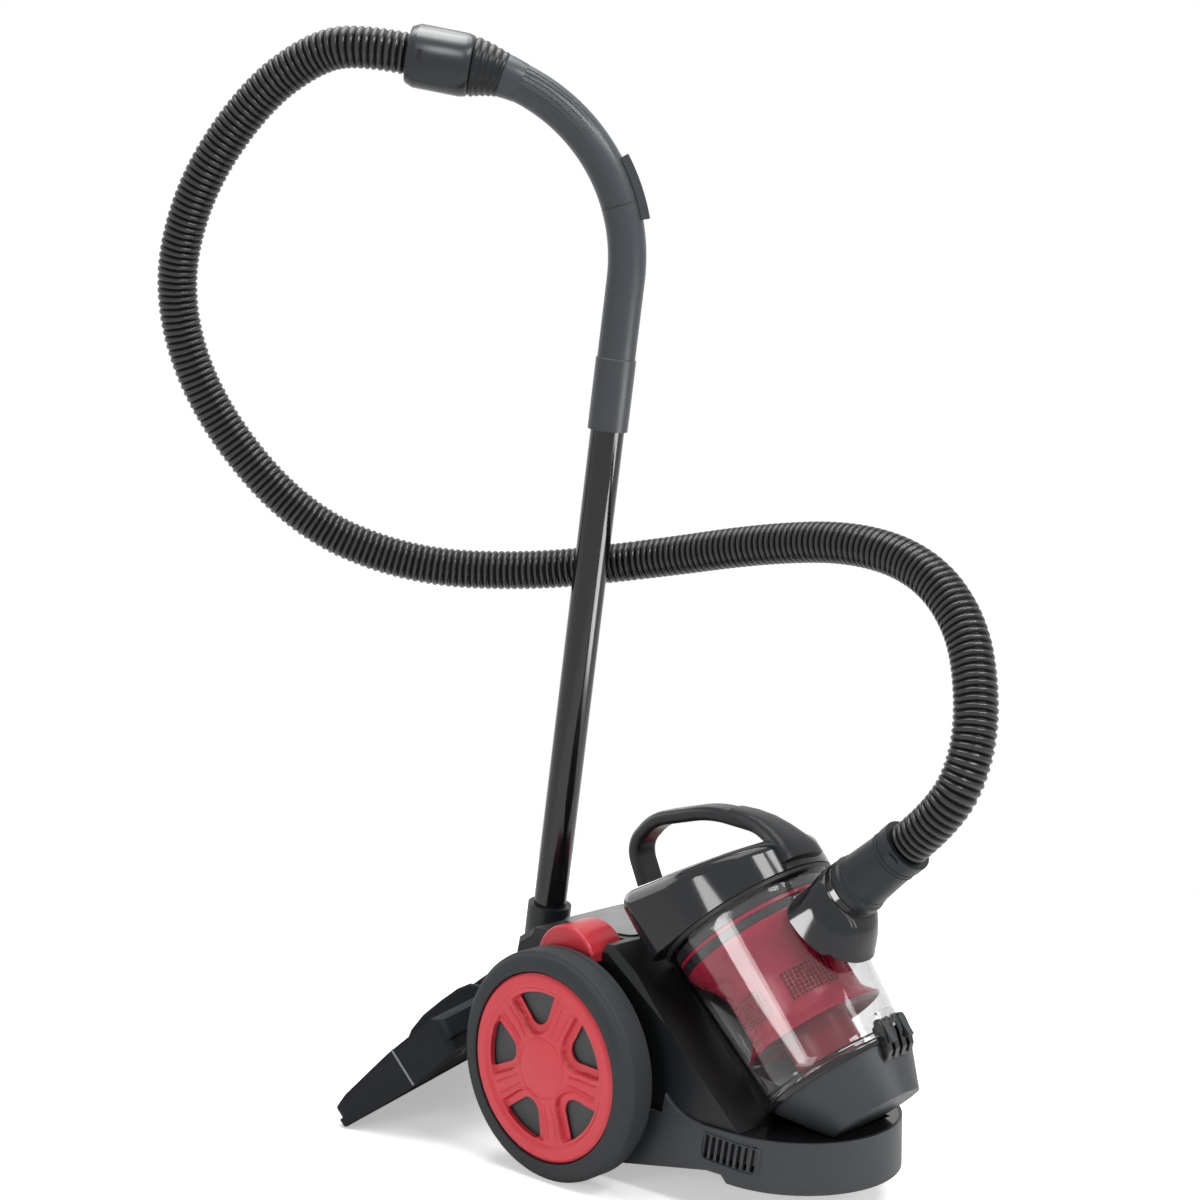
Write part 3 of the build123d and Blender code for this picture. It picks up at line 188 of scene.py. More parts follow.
def node_tree(name, sockets):
    """A geometry node tree that takes a geometry, the named sockets and a material; gives it and what it takes."""
    tree = bpy.data.node_groups.new(name, "GeometryNodeTree")
    for label, kind in {"Geometry": "Geometry", **sockets, "Material": "Material"}.items():
        tree.interface.new_socket(label, in_out="INPUT", socket_type=f"NodeSocket{kind}")
    tree.interface.new_socket("Geometry", in_out="OUTPUT", socket_type="NodeSocketGeometry")
    return tree, add_node(tree, "NodeGroupInput", {})


def finish_tree(tree, given, shape):
    """Ends a geometry node tree with real geometry in the given material."""
    real = add_node(tree, "GeometryNodeRealizeInstances", {"Geometry": shape})
    coat = add_node(tree, "GeometryNodeSetMaterial", {"Geometry": real["Geometry"], "Material": given["Material"]})
    add_node(tree, "NodeGroupOutput", {"Geometry": coat["Geometry"]})
    return tree


# Finishes
def noise_node(tree, coordinates, scale, detail):
    """A noise texture on the object's coordinates."""
    return add_node(tree, "ShaderNodeTexNoise", {"Scale": scale, "Detail": detail, "Vector": coordinates})["Fac"]


def uneven_roughness(tree, place, rough):
    """Roughness that varies a little over the surface."""
    spots = noise_node(tree, place, 60, 4)
    spread = add_node(tree, "ShaderNodeMapRange", {"Value": spots, "To Min": rough * 0.85, "To Max": rough * 1.15})
    return spread["Result"]


def clear_plastic(tree, shader, place):
    """Clear plastic that lets the lamps reach what is behind it."""
    set_inputs(tree, shader, {
        "Base Color": (0.82, 0.825, 0.825, 1), "Transmission Weight": 1, "IOR": 1.42,
        "Roughness": uneven_roughness(tree, place, 0.02)})
    ray = add_node(tree, "ShaderNodeLightPath", {})
    through = add_node(tree, "ShaderNodeBsdfTransparent", {"Color": (0.88, 0.885, 0.885, 1)})
    both = add_node(tree, "ShaderNodeMixShader", {0: ray["Is Shadow Ray"], 1: shader.outputs[0], 2: through[0]})
    set_inputs(tree, tree.nodes["Material Output"], {"Surface": both[0]})


def finish_for(name):
    """The procedural finish of that name, built once."""
    known = bpy.data.materials.get(f"finish_{name}")
    if known:
        return known
    material = bpy.data.materials.new(f"finish_{name}")
    material.use_nodes = True
    tree = material.node_tree
    shader = tree.nodes["Principled BSDF"]
    place = add_node(tree, "ShaderNodeTexCoord", {})["Object"]
    if name == "clear_cup":
        clear_plastic(tree, shader, place)
        return material
    colour, rough, grain, depth, shine = FINISHES[name]
    # Colour that varies a little over the surface
    base = add_node(tree, "ShaderNodeMix", {
        "A": (*[c * 0.92 for c in colour], 1), "B": (*[min(1, c * 1.08) for c in colour], 1),
        "Factor": noise_node(tree, place, 22, 3)}, data_type="RGBA")["Result"]
    if name == "hose_black":
        # Painted shade between the ribs: the colour goes near black and the reflection dims in the grooves
        rib = add_node(tree, "ShaderNodeAttribute", {}, attribute_name="rib")["Fac"]
        base = add_node(tree, "ShaderNodeMix", {"A": (0.001, 0.001, 0.001, 1), "B": base, "Factor": rib},
                        data_type="RGBA")["Result"]
        shine = add_node(tree, "ShaderNodeMapRange", {"Value": rib, "To Min": 0.07, "To Max": shine})["Result"]
    bump = add_node(tree, "ShaderNodeBump", {
        "Strength": depth, "Distance": 0.0004, "Height": noise_node(tree, place, grain, 2)})
    set_inputs(tree, shader, {
        "Base Color": base, "Metallic": 1 if name in METALS else 0, "Specular IOR Level": shine,
        "Roughness": uneven_roughness(tree, place, rough), "Normal": bump["Normal"]})
    return material


# Mesh helpers
def smooth(mesh, angle):
    """Smooth faces with sharp edges above an angle in degrees."""
    mesh.shade_smooth()
    mesh.set_sharp_from_angle(angle=radians(angle))


def in_scene(name, data):
    """An object of some data, in the scene."""
    obj = bpy.data.objects.new(name, data)
    bpy.context.scene.collection.objects.link(obj)
    return obj


def dressed(name, mesh, finish):
    """An object of a mesh in a finish."""
    obj = in_scene(name, mesh)
    mesh.materials.clear()
    mesh.materials.append(finish_for(finish))
    return obj


def fixed(obj, body, replaced=()):
    """Hides the CAD pieces that an object stands for and sets it on the body it rides on."""
    if replaced:
        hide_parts(*replaced)
    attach(obj, body)
    return obj


def placed(name, mesh, body, slot, replaced=(), finish=None, angle=None):
    """An object of a finished mesh that rides on a CAD body and takes a slot's finish or another."""
    if angle:
        smooth(mesh, angle)
    return fixed(dressed(name, mesh, finish or slot), body, replaced)


def baked(obj):
    """Turns an object's modifiers into its own plain mesh."""
    bpy.context.view_layer.update()
    evaluated = obj.evaluated_get(bpy.context.evaluated_depsgraph_get())
    mesh = bpy.data.meshes.new_from_object(evaluated)
    obj.modifiers.clear()
    old = obj.data
    obj.data = mesh
    if old.users == 0:
        bpy.data.meshes.remove(old)
    return mesh


def rounded_edges(obj, width, angle=30, segments=2):
    """Rounds an object's sharp edges by a small width and shades it."""
    bevel = obj.modifiers.new("edges", "BEVEL")
    bevel.width = width
    bevel.segments = segments
    bevel.limit_method = "ANGLE"
    bevel.angle_limit = radians(angle)
    bevel.harden_normals = True
    baked(obj)


def skin(node, width=0.0006, angle=30, finish=None):
    """A copy of a CAD piece with merged corners, rounded edges and smooth faces, in the piece's place."""
    mesh = NODES[node].data.copy()
    mesh.name = node
    work = bmesh.new()
    work.from_mesh(mesh)
    bmesh.ops.remove_doubles(work, verts=work.verts, dist=0.00002)
    bmesh.ops.dissolve_limit(work, angle_limit=radians(0.5), verts=work.verts, edges=work.edges)
    work.to_mesh(mesh)
    work.free()
    mesh.validate()
    smooth(mesh, angle)
    obj = dressed(f"{node}_skin", mesh, finish or SLOT[node])
    rounded_edges(obj, width, angle)
    return fixed(obj, BODY[node], [node])


def meshed(name, work):
    """Mesh of a bmesh, which is freed."""
    mesh = bpy.data.meshes.new(name)
    work.to_mesh(mesh)
    work.free()
    return mesh


def lathe(name, profile, place, steps=128):
    """Mesh of a closed profile of (radius, height) points in mm turned round the Z axis of a frame."""
    work = bmesh.new()
    rows = []
    for k in range(steps):
        c, s = cos(2 * pi * k / steps), sin(2 * pi * k / steps)
        rows.append([work.verts.new(place @ Vector((r * MM * c, r * MM * s, z * MM))) for r, z in profile])
    count = len(profile)
    for here, there in zip(rows, rows[1:] + rows[:1]):
        for k in range(count):
            work.faces.new((here[k], there[k], there[(k + 1) % count], here[(k + 1) % count]))
    bmesh.ops.remove_doubles(work, verts=work.verts, dist=1e-7)
    bmesh.ops.recalc_face_normals(work, faces=work.faces)
    return meshed(name, work)


def skinned_rings(name, rings, cap_ends=True):
    """Mesh through rings of equal point counts, one after the other, with flat ends."""
    work = bmesh.new()
    rows = [[work.verts.new(point) for point in ring] for ring in rings]
    count = len(rows[0])
    for here, there in zip(rows, rows[1:]):
        for k in range(count):
            work.faces.new((here[k], here[(k + 1) % count], there[(k + 1) % count], there[k]))
    if cap_ends:
        work.faces.new(rows[0])
        work.faces.new(rows[-1])
    bmesh.ops.recalc_face_normals(work, faces=work.faces)
    return meshed(name, work)


def extruded(name, outline, low, high, place):
    """Mesh of a flat outline in mm in a frame's XY plane, drawn out along its Z axis."""
    return skinned_rings(name, [[place @ Vector((x * MM, y * MM, z * MM)) for x, y in outline] for z in (low, high)])


def joined(name, meshes):
    """One mesh of several."""
    work = bmesh.new()
    for mesh in meshes:
        work.from_mesh(mesh)
        bpy.data.meshes.remove(mesh)
    return meshed(name, work)


def bar(name, low, high, place):
    """Mesh of a square bar between two corners in mm in a frame."""
    outline = [(low[0], low[1]), (high[0], low[1]), (high[0], high[1]), (low[0], high[1])]
    return extruded(name, outline, low[2], high[2], place)


def circle(place, radius, count):
    """Points of a circle in a frame's XY plane."""
    turns = [2 * pi * k / count for k in range(count)]
    return [place @ Vector((radius * cos(turn), radius * sin(turn), 0)) for turn in turns]


def oval(half_wide, up, down, count=64, power=2):
    """Outline of an oval with its own height above and below, as (across, height) points."""
    points = []
    for k in range(count):
        turn = 2 * pi * k / count
        c, s = cos(turn), sin(turn)
        across = half_wide * (1 if c >= 0 else -1) * abs(c) ** (2 / power)
        tall = (up if s >= 0 else down) * (1 if s >= 0 else -1) * abs(s) ** (2 / power)
        points.append((across, tall))
    return points


def grown(name, tree, inputs, line=()):
    """An object whose mesh a node tree has made from its named inputs and, for some trees, a line of points."""
    mesh = bpy.data.meshes.new(name)
    mesh.from_pydata(line, [(k, k + 1) for k in range(len(line) - 1)], [])
    obj = in_scene(name, mesh)
    modifier = obj.modifiers.new("nodes", "NODES")
    modifier.node_group = tree
    for item in tree.interface.items_tree:
        if item.in_out == "INPUT" and item.name in inputs:
            modifier[item.identifier] = inputs[item.name]
    baked(obj)
    return obj


# Settings
class HoseSettings(bpy.types.PropertyGroup):
    """Form of the hose's ribs."""

    pitch: bpy.props.FloatProperty(name="Rib Pitch", description="Distance from rib to rib", default=0.0063,
                                   min=0.004, max=0.03, subtype="DISTANCE", unit="LENGTH")
    crest: bpy.props.FloatProperty(name="Crest Radius", description="Radius on top of a rib", default=HOSE_R,
                                   min=0.01, max=0.03, subtype="DISTANCE", unit="LENGTH")
    valley: bpy.props.FloatProperty(name="Valley Radius", description="Radius between two ribs", default=0.0171,
                                    min=0.01, max=0.03, subtype="DISTANCE", unit="LENGTH")


class WheelSettings(bpy.types.PropertyGroup):
    """Form of the red hub caps."""

    cell: bpy.props.FloatProperty(name="Cell", description="Size of the cells of a hub cap's mesh", default=0.0008,
                                  min=0.0004, max=0.003, subtype="DISTANCE", unit="LENGTH")
    windows: bpy.props.IntProperty(name="Windows", description="Number of windows in a hub cap", default=5,
                                   min=3, max=9)


class StageSettings(bpy.types.PropertyGroup):
    """Strength of the studio light."""

    key: bpy.props.FloatProperty(name="Key Light", description="Power of the key light in watts", default=45,
                                 min=0, max=500)
    fill: bpy.props.FloatProperty(name="Fill", description="Strength of the white surround", default=0.3,
                                  min=0, max=1)


# Hose: start and held place along the inlet's axis, straight lengths at both ends, and where its two pieces meet
HOSE_START = 0.182
HOSE_HELD = 0.2
START_STRAIGHT = 0.048
END_STRAIGHT = 0.042
HOSE_MEET = Vector((-0.06, 0.053, 0.538))
HOSE_SIDES = 40
RINGS_PER_RIB = 10


def hose_points():
    """Control points of the hose's line, from the connector to the cuff."""
    start = INLET + CUP_FRONT * HOSE_START
    free = [(343, 10, 397), (337, 27, 445), (311, 50, 502), (260, 65, 546), (185, 70, 565), (85, 70, 560),
            (-45, 56, 540), (-155, 5, 525), (-250, -65, 530), (-325, -140, 575), (-380, -205, 680),
            (-387, -240, 785), (-345, -245, 880), (-280, -222, 962), (-222, -195, 1000)]
    return [start, start + CUP_FRONT * START_STRAIGHT, *[Vector(point) * MM for point in free],
            CUFF_END + CUFF_OUT * END_STRAIGHT, CUFF_END]


def hose_line():
    """Points along the hose's spline, close together."""
    points = hose_points()
    curve = bpy.data.curves.new("hose_line", "CURVE")
    curve.dimensions = "3D"
    spline = curve.splines.new("NURBS")
    spline.points.add(len(points) - 1)
    for knot, point in zip(spline.points, points):
        knot.co = (*point, 1)
    spline.order_u = 3
    spline.use_endpoint_u = True
    spline.resolution_u = 24
    holder = in_scene("hose_line", curve)
    bpy.context.view_layer.update()
    mesh = bpy.data.meshes.new_from_object(holder.evaluated_get(bpy.context.evaluated_depsgraph_get()))
    line = [vertex.co.copy() for vertex in mesh.vertices]
    bpy.data.meshes.remove(mesh)
    bpy.data.objects.remove(holder)
    bpy.data.curves.remove(curve)
    return line


def rib_tree():
    """Geometry nodes that sweep a ribbed tube along a line of edges."""
    tree, given = node_tree("ribbed_hose", {"Pitch": "Float", "Crest": "Float", "Valley": "Float"})
    curve = add_node(tree, "GeometryNodeMeshToCurve", {"Mesh": given["Geometry"]})
    even = add_node(tree, "GeometryNodeResampleCurve", {
        "Curve": curve["Curve"], "Length": math_node(tree, "DIVIDE", given["Pitch"], RINGS_PER_RIB)}, mode="LENGTH")
    along = add_node(tree, "GeometryNodeSplineParameter", {})["Length"]
    turns = math_node(tree, "DIVIDE", along, given["Pitch"])
    wave = math_node(tree, "COSINE", math_node(tree, "MULTIPLY", turns, 2 * pi))
    radius = add_node(tree, "ShaderNodeMapRange", {
        "Value": wave, "From Min": 0.95, "From Max": -0.9, "To Min": given["Valley"], "To Max": given["Crest"]},
        interpolation_type="SMOOTHSTEP")
    # Mask of 1 on the crests and 0 in the grooves, stored as rib, that carries the painted shade in the grooves
    rise = add_node(tree, "ShaderNodeMapRange", {"Value": wave, "From Min": 0.8, "From Max": -0.4},
                    interpolation_type="SMOOTHSTEP")
    mark = add_node(tree, "GeometryNodeStoreNamedAttribute", {
        "Geometry": even["Curve"], "Name": "rib", "Value": rise["Result"]}, data_type="FLOAT", domain="POINT")
    ring = add_node(tree, "GeometryNodeCurvePrimitiveCircle", {"Resolution": HOSE_SIDES, "Radius": 1})
    tube = add_node(tree, "GeometryNodeCurveToMesh", {
        "Curve": mark["Geometry"], "Profile Curve": ring["Curve"], "Scale": radius["Result"], "Fill Caps": True})
    shade = add_node(tree, "GeometryNodeSetShadeSmooth", {"Geometry": tube["Mesh"]})
    return finish_tree(tree, given, shade["Geometry"])


class VACUUM_OT_hose(bpy.types.Operator):
    """Builds the ribbed hose in two lengths that meet behind the wand"""

    bl_idname = "vacuum.hose"
    bl_label = "Hose"

    def execute(self, context):
        form = context.scene.vacuum_hose
        line = hose_line()
        middle = min(range(len(line)), key=lambda k: (line[k] - HOSE_MEET).length)
        tree = rib_tree()
        for name, part, body, end in (
            ("hose_front", line[: middle + 1], "dust_bin", INLET + CUP_FRONT * HOSE_HELD),
            ("hose_rear", line[middle:], "wand", CUFF_END),
        ):
            obj = grown(name, tree, {
                "Pitch": form.pitch, "Crest": form.crest, "Valley": form.valley,
                "Material": finish_for("hose_black")}, part)
            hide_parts("hose")
            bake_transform(obj)
        return {"FINISHED"}


# Hub caps: place of the face, radius and depth; the windows' turn, half angle, tip, outer radius and corners
CAP_FACE = 0.137
CAP_R = 0.0835
CAP_DEPTH = 0.0078
WINDOW_TURN = radians(100)
WINDOW_HALF = radians(31)
WINDOW_TIP = 0.0485
WINDOW_TIP_R = 0.0115
WINDOW_OUTER_R = 0.067
WINDOW_CORNER = 0.003


def window_distance(u, v):
    """Signed distance in metres to a hub cap window that lies on the U axis."""
    x = u - WINDOW_TIP
    y = np.abs(v)
    c, s = cos(WINDOW_HALF), sin(WINDOW_HALF)
    cone = np.where(x * c + y * s < 0, np.hypot(x, y), y * c - x * s) - WINDOW_TIP_R + WINDOW_CORNER
    outer = np.hypot(u, v) - WINDOW_OUTER_R + WINDOW_CORNER
    outside = np.hypot(np.maximum(cone, 0), np.maximum(outer, 0))
    return np.minimum(np.maximum(cone, outer), 0) + outside - WINDOW_CORNER


def nearest_window(u, v, windows):
    """Coordinates turned into the nearest window's own frame."""
    pitch = 2 * pi / windows
    turn = np.arctan2(v, u) - WINDOW_TURN
    turn = turn - np.round(turn / pitch) * pitch
    radius = np.hypot(u, v)
    return radius * np.cos(turn), radius * np.sin(turn)


def cap_edge(u, v, windows):
    """Signed distance that is negative on a hub cap's own material."""
    return np.maximum(np.hypot(u, v) - CAP_R, -window_distance(*nearest_window(u, v, windows)))


def step(value, low, high):
    """Smooth step from 0 at low to 1 at high."""
    t = np.clip((value - low) / (high - low), 0, 1)
    return t * t * (3 - 2 * t)


def bell(value, middle, width):
    """Bell curve of height 1 round a middle."""
    return np.exp(-(((value - middle) / width) ** 2))


def cap_relief(u, v, windows):
    """Height of a hub cap's face, at coordinates in the nearest window's own frame."""
    radius = np.hypot(u, v)
    gap = window_distance(u, v)
    # Dish with a raised middle and a fine round groove
    height = -0.0022 + 0.0026 * (1 - step(radius, 0.018, 0.05))
    height += 0.0012 * (1 - step(radius, 0.0, 0.026))
    height -= 0.0007 * bell(radius, 0.027, 0.0009)
    # Flat rim that is rounded off outside
    rim = step(radius, 0.0685, 0.0725)
    height = height * (1 - rim) + 0.0004 * rim
    height -= 0.0024 * step(radius, 0.0795, 0.0838) ** 1.5
    # Sunk band round the window, with a raised lip
    height -= 0.0042 * (1 - step(gap, 0.0062, 0.0076)) * (1 - step(radius, 0.0645, 0.0675))
    height += 0.0012 * bell(gap, 0.0088, 0.0012) * (1 - step(radius, 0.062, 0.066))
    # Two grooves along the spoke beside the window
    spoke = pi / windows
    along = u * cos(spoke) + np.abs(v) * sin(spoke)
    across = np.abs(np.abs(v) * cos(spoke) - u * sin(spoke))
    groove = bell(across, 0.0022 + 0.05 * along, 0.0007) * step(along, 0.03, 0.034) * (1 - step(along, 0.062, 0.066))
    return height - 0.0011 * groove


def cap_mesh(cell, windows):
    """Hub cap in its own plane: a dished disc with rimmed windows, engraved spokes and a round rim."""
    count = int(CAP_R / cell) + 3
    grid = np.arange(-count, count + 1) * cell
    u, v = np.meshgrid(grid, grid, indexing="ij")
    tiny = cell * 0.05
    # Points near an edge are moved onto it
    for _ in range(2):
        edge = cap_edge(u, v, windows)
        slope_u = (cap_edge(u + tiny, v, windows) - edge) / tiny
        slope_v = (cap_edge(u, v + tiny, windows) - edge) / tiny
        snap = np.abs(edge) < cell * 0.75
        u = np.where(snap, u - edge * slope_u, u)
        v = np.where(snap, v - edge * slope_v, v)
    keep = cap_edge(u, v, windows) < cell * 0.3
    height = cap_relief(*nearest_window(u, v, windows), windows)
    index = -np.ones(u.shape, int)
    index[keep] = np.arange(keep.sum())
    points = np.stack([u[keep], v[keep], height[keep]], axis=1)
    quads = np.stack([index[:-1, :-1], index[1:, :-1], index[1:, 1:], index[:-1, 1:]], axis=-1).reshape(-1, 4)
    faces = [[int(k) for k in quad if k >= 0] for quad in quads]
    mesh = bpy.data.meshes.new("hub_cap")
    mesh.from_pydata(points.tolist(), [], [face for face in faces if len(face) >= 3])
    work = bmesh.new()
    work.from_mesh(mesh)
    rims = [e for e in work.edges if len(e.link_faces) == 1]
    made = bmesh.ops.extrude_edge_only(work, edges=rims)["geom"]
    for vertex in [g for g in made if isinstance(g, bmesh.types.BMVert)]:
        vertex.co.z = -CAP_DEPTH
    bmesh.ops.recalc_face_normals(work, faces=work.faces)
    work.to_mesh(mesh)
    work.free()
    mesh.update()
    return mesh


# Section of the tyres, radius and place across
TYRE_PROFILE = [(84.2, 105.2), (101, 105), (102.4, 105.6), (103, 107), (103, 112.4), (102.4, 112.9), (102.4, 114.1),
                (103, 114.6), (103, 127), (102.6, 129.2), (101.6, 131), (100.6, 131.6), (100.2, 132.4), (99.6, 133.4),
                (97.4, 135.2), (94.6, 136.4), (91, 136.9), (86.6, 137), (85.4, 136.7), (84.8, 136), (84.6, 132),
                (84.2, 131)]


class VACUUM_OT_wheels(bpy.types.Operator):
    """Builds the rear wheels: tyres, dark cores and red hub caps"""

    bl_idname = "vacuum.wheels"
    bl_label = "Rear Wheels"

    def execute(self, context):
        form = context.scene.vacuum_wheels
        for side, sign in SIDES:
            out = axes((0, 0, WHEEL_R), (1, 0, 0), (0, sign, 0))
            tyre = lathe(f"{side}_tyre", TYRE_PROFILE, out, 160)
            placed(f"{side}_tyre_skin", tyre, f"{side}_wheel", "tyre_grey", [f"{side}_tyre"], angle=32)
            cap = cap_mesh(form.cell, form.windows)
            cap.transform(out @ Matrix.Translation((0, 0, CAP_FACE)))
            placed(f"{side}_hub_cap_skin", cap, f"{side}_wheel", "red_plastic", [f"{side}_hub_cap"], angle=42)
            skin(f"{side}_wheel_core", 0.0008)
        return {"FINISHED"}


# Vent frame: its corners along and up, their roundness, its section, and the round of the nose
VENT_LOOP = [(141.5, 45.5), (203.5, 42.5), (206.5, 66.5), (144.5, 69.5)]
VENT_CORNER = 0.005
VENT_SECTION = ((1.0, -0.002), (1.0, 0.0009), (0.985, 0.0016), (0.93, 0.0016), (0.9, 0.0008), (0.9, -0.002))
NOSE_X = 0.178
NOSE_R = 0.09


def vent_frame(sign):
    """Raised frame round the vent slots, bent round the nose on one side."""
    corners = [Vector((x, z)) * MM for x, z in VENT_LOOP]
    loop = []
    for k, corner in enumerate(corners):
        before = (corners[k - 1] - corner).normalized()
        after = (corners[(k + 1) % 4] - corner).normalized()
        far = (corners[(k + 1) % 4] - corner).length
        start, stop = corner + before * VENT_CORNER, corner + after * VENT_CORNER
        for part in range(6):
            t = part / 5
            loop.append(start * (1 - t) ** 2 + corner * 2 * t * (1 - t) + stop * t * t)
        for part in range(1, 8):
            loop.append(corner + after * (VENT_CORNER + (far - 2 * VENT_CORNER) * part / 8))
    middle = sum(loop, Vector((0, 0))) / len(loop)
    rings = []
    for grow, rise in VENT_SECTION:
        ring = []
        for point in loop:
            x, z = middle + (point - middle) * grow
            flank = NOSE_R if x < NOSE_X else sqrt(NOSE_R**2 - (x - NOSE_X) ** 2)
            ring.append((x, sign * (flank + rise), z))
        rings.append(ring)
    return skinned_rings("vent_frame", rings + rings[:1], cap_ends=False)


# Outline of the fenders between the wheels and the nose, along and up, their place and half thickness
FENDER = [(96, 60), (99, 78), (102.5, 92.5), (107, 87.6), (112, 83.8), (118, 80.4), (125, 77.4), (133, 75.2),
          (142, 74.1), (146, 73), (146, 60)]
FENDER_SIDE = 0.0866
FENDER_HALF = 3.2
DECK_PLACE = (-0.019, 0, 0.2078)
PEDAL_SPRING = {"Turns": 4.5, "Radius": 0.0068, "Height": 0.0142, "Wire": 0.0009}


def coil_tree():
    """Geometry nodes that make a coil spring of wire."""
    tree, given = node_tree("coil_spring", {
        "Turns": "Float", "Radius": "Float", "Height": "Float", "Wire": "Float", "Place": "Vector"})
    spiral = add_node(tree, "GeometryNodeCurveSpiral", {
        "Resolution": 24, "Rotations": given["Turns"], "Start Radius": given["Radius"],
        "End Radius": given["Radius"], "Height": given["Height"]})
    ring = add_node(tree, "GeometryNodeCurvePrimitiveCircle", {"Resolution": 10, "Radius": given["Wire"]})
    wire = add_node(tree, "GeometryNodeCurveToMesh", {
        "Curve": spiral["Curve"], "Profile Curve": ring["Curve"], "Fill Caps": True})
    move = add_node(tree, "GeometryNodeTransform", {"Geometry": wire["Mesh"], "Translation": given["Place"]})
    shade = add_node(tree, "GeometryNodeSetShadeSmooth", {"Geometry": move["Geometry"]})
    return finish_tree(tree, given, shade["Geometry"])


class VACUUM_OT_housing(bpy.types.Operator):
    """Builds the housing, its seat for the cup, the back, the pedals and the caster"""

    bl_idname = "vacuum.housing"
    bl_label = "Housing"

    def execute(self, context):
        for node in ("lower_housing", "upper_housing", "cup_seat", "rear_cover", "parking_bracket", "cord_outlet",
                     "right_pedal", "left_pedal", "caster_fork", "caster_wheel"):
            # The upper housing takes a darker finish than its charcoal slot: black satin, plus painted shade where it
            # lies between wheel and cup
            finish = "housing_black_shaded" if node == "upper_housing" else None
            skin(node, 0.001 if "housing" in node else 0.0006, finish=finish)
        for name, sign in SIDES:
            placed(f"{name}_vent_frame", vent_frame(sign), "chassis", "housing_charcoal", angle=35)
        for name, sign in SIDES:
            side = axes((0, sign * FENDER_SIDE, 0), (1, 0, 0), (0, -1, 0))
            fender = extruded("fender", FENDER, -FENDER_HALF, FENDER_HALF, side)
            rounded_edges(placed(f"{name}_fender", fender, "chassis", "housing_charcoal"), 0.0016, segments=3)
        deck = axes(DECK_PLACE, (1, 0, 0), (0, 0, 1))
        panel = extruded("deck_panel", oval(47, 49, 49, 72, 7), 0, 1.6, deck)
        rounded_edges(placed("deck_panel", panel, "chassis", "black_gloss", finish="deck_gloss"), 0.0007)
        coils = coil_tree()
        for (side, sign), joint in zip(SIDES, ("power_pedal_press", "rewind_pedal_press")):
            spring = grown(f"{side}_coil", coils, {
                **PEDAL_SPRING, "Place": (-0.008, sign * 0.072, 0.1789), "Material": finish_for("spring_steel")})
            fixed(spring, "chassis", [f"{side}_pedal_spring"])
            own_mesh(spring)
        return {"FINISHED"}


# Sections of the inlet's snout: place along its axis, half width, height above and below the axis
SNOUT = [(88, 37, 50, 22.5), (93, 36.2, 46, 24), (97, 35, 42.5, 25.2), (101, 33.2, 38.6, 26.4), (104, 31.2, 34.8, 27),
         (106.2, 29, 30.8, 27.2), (107.4, 27.6, 28.2, 27), (107.6, 26.8, 26.8, 26.8), (113.6, 26.8, 26.8, 26.8),
         (114, 26.4, 26.4, 26.4), (114, 20.1, 20.1, 20.1), (90, 20.1, 20.1, 20.1)]
SNOUT_SIDES = 80


def snout_mesh():
    """The inlet's snout: fitted to the cup and the lid behind, sloping down to a round spout in front."""
    wall = []
    for across, tall in oval(39, 55, 23, SNOUT_SIDES, 2.4):
        # Radius of the lid above the cup's rim, and of the cup's leaning wall below it
        height = INLET_HEIGHT + tall
        radius = 84.2 if height > 151 else 66.4 + 14 * height / 156
        wall.append(INLET_FRAME @ Vector((across * MM, -tall * MM, sqrt(radius**2 - across**2) * MM)))
    rings = [wall]
    for along, half, up, down in SNOUT:
        # Sections grow round towards the spout
        power = 2 + 0.4 * max(0, min(1, (103 - along) / 13)) * (half > 27)
        rings.append([INLET_FRAME @ Vector((x * MM, -y * MM, along * MM))
                      for x, y in oval(half, up, down, SNOUT_SIDES, power)])
    return skinned_rings("inlet_snout", rings, cap_ends=False)


# Line of the carry handle's front end, along and up, with half width and half thickness
HANDLE_ROOT = [(108, 325, 13.6, 6.2), (124, 323.4, 14.4, 7), (140, 319.6, 16, 8), (154, 313.4, 18.6, 9),
               (166, 306.2, 22, 10), (175, 299.6, 25, 10.5), (180, 294.5, 26.5, 9)]


def handle_root():
    """The carry handle's front end, which widens down the lid to the inlet."""
    rings = []
    for k, (x, z, half, thick) in enumerate(HANDLE_ROOT):
        x0, z0 = HANDLE_ROOT[max(k - 1, 0)][:2]
        x1, z1 = HANDLE_ROOT[min(k + 1, len(HANDLE_ROOT) - 1)][:2]
        place = axes((x * MM, 0, z * MM), (0, 1, 0), (x1 - x0, 0, z1 - z0))
        rings.append([place @ Vector((a * MM, -b * MM, 0)) for a, b in oval(half, thick, thick, 48, 3)])
    return skinned_rings("handle_root", rings)


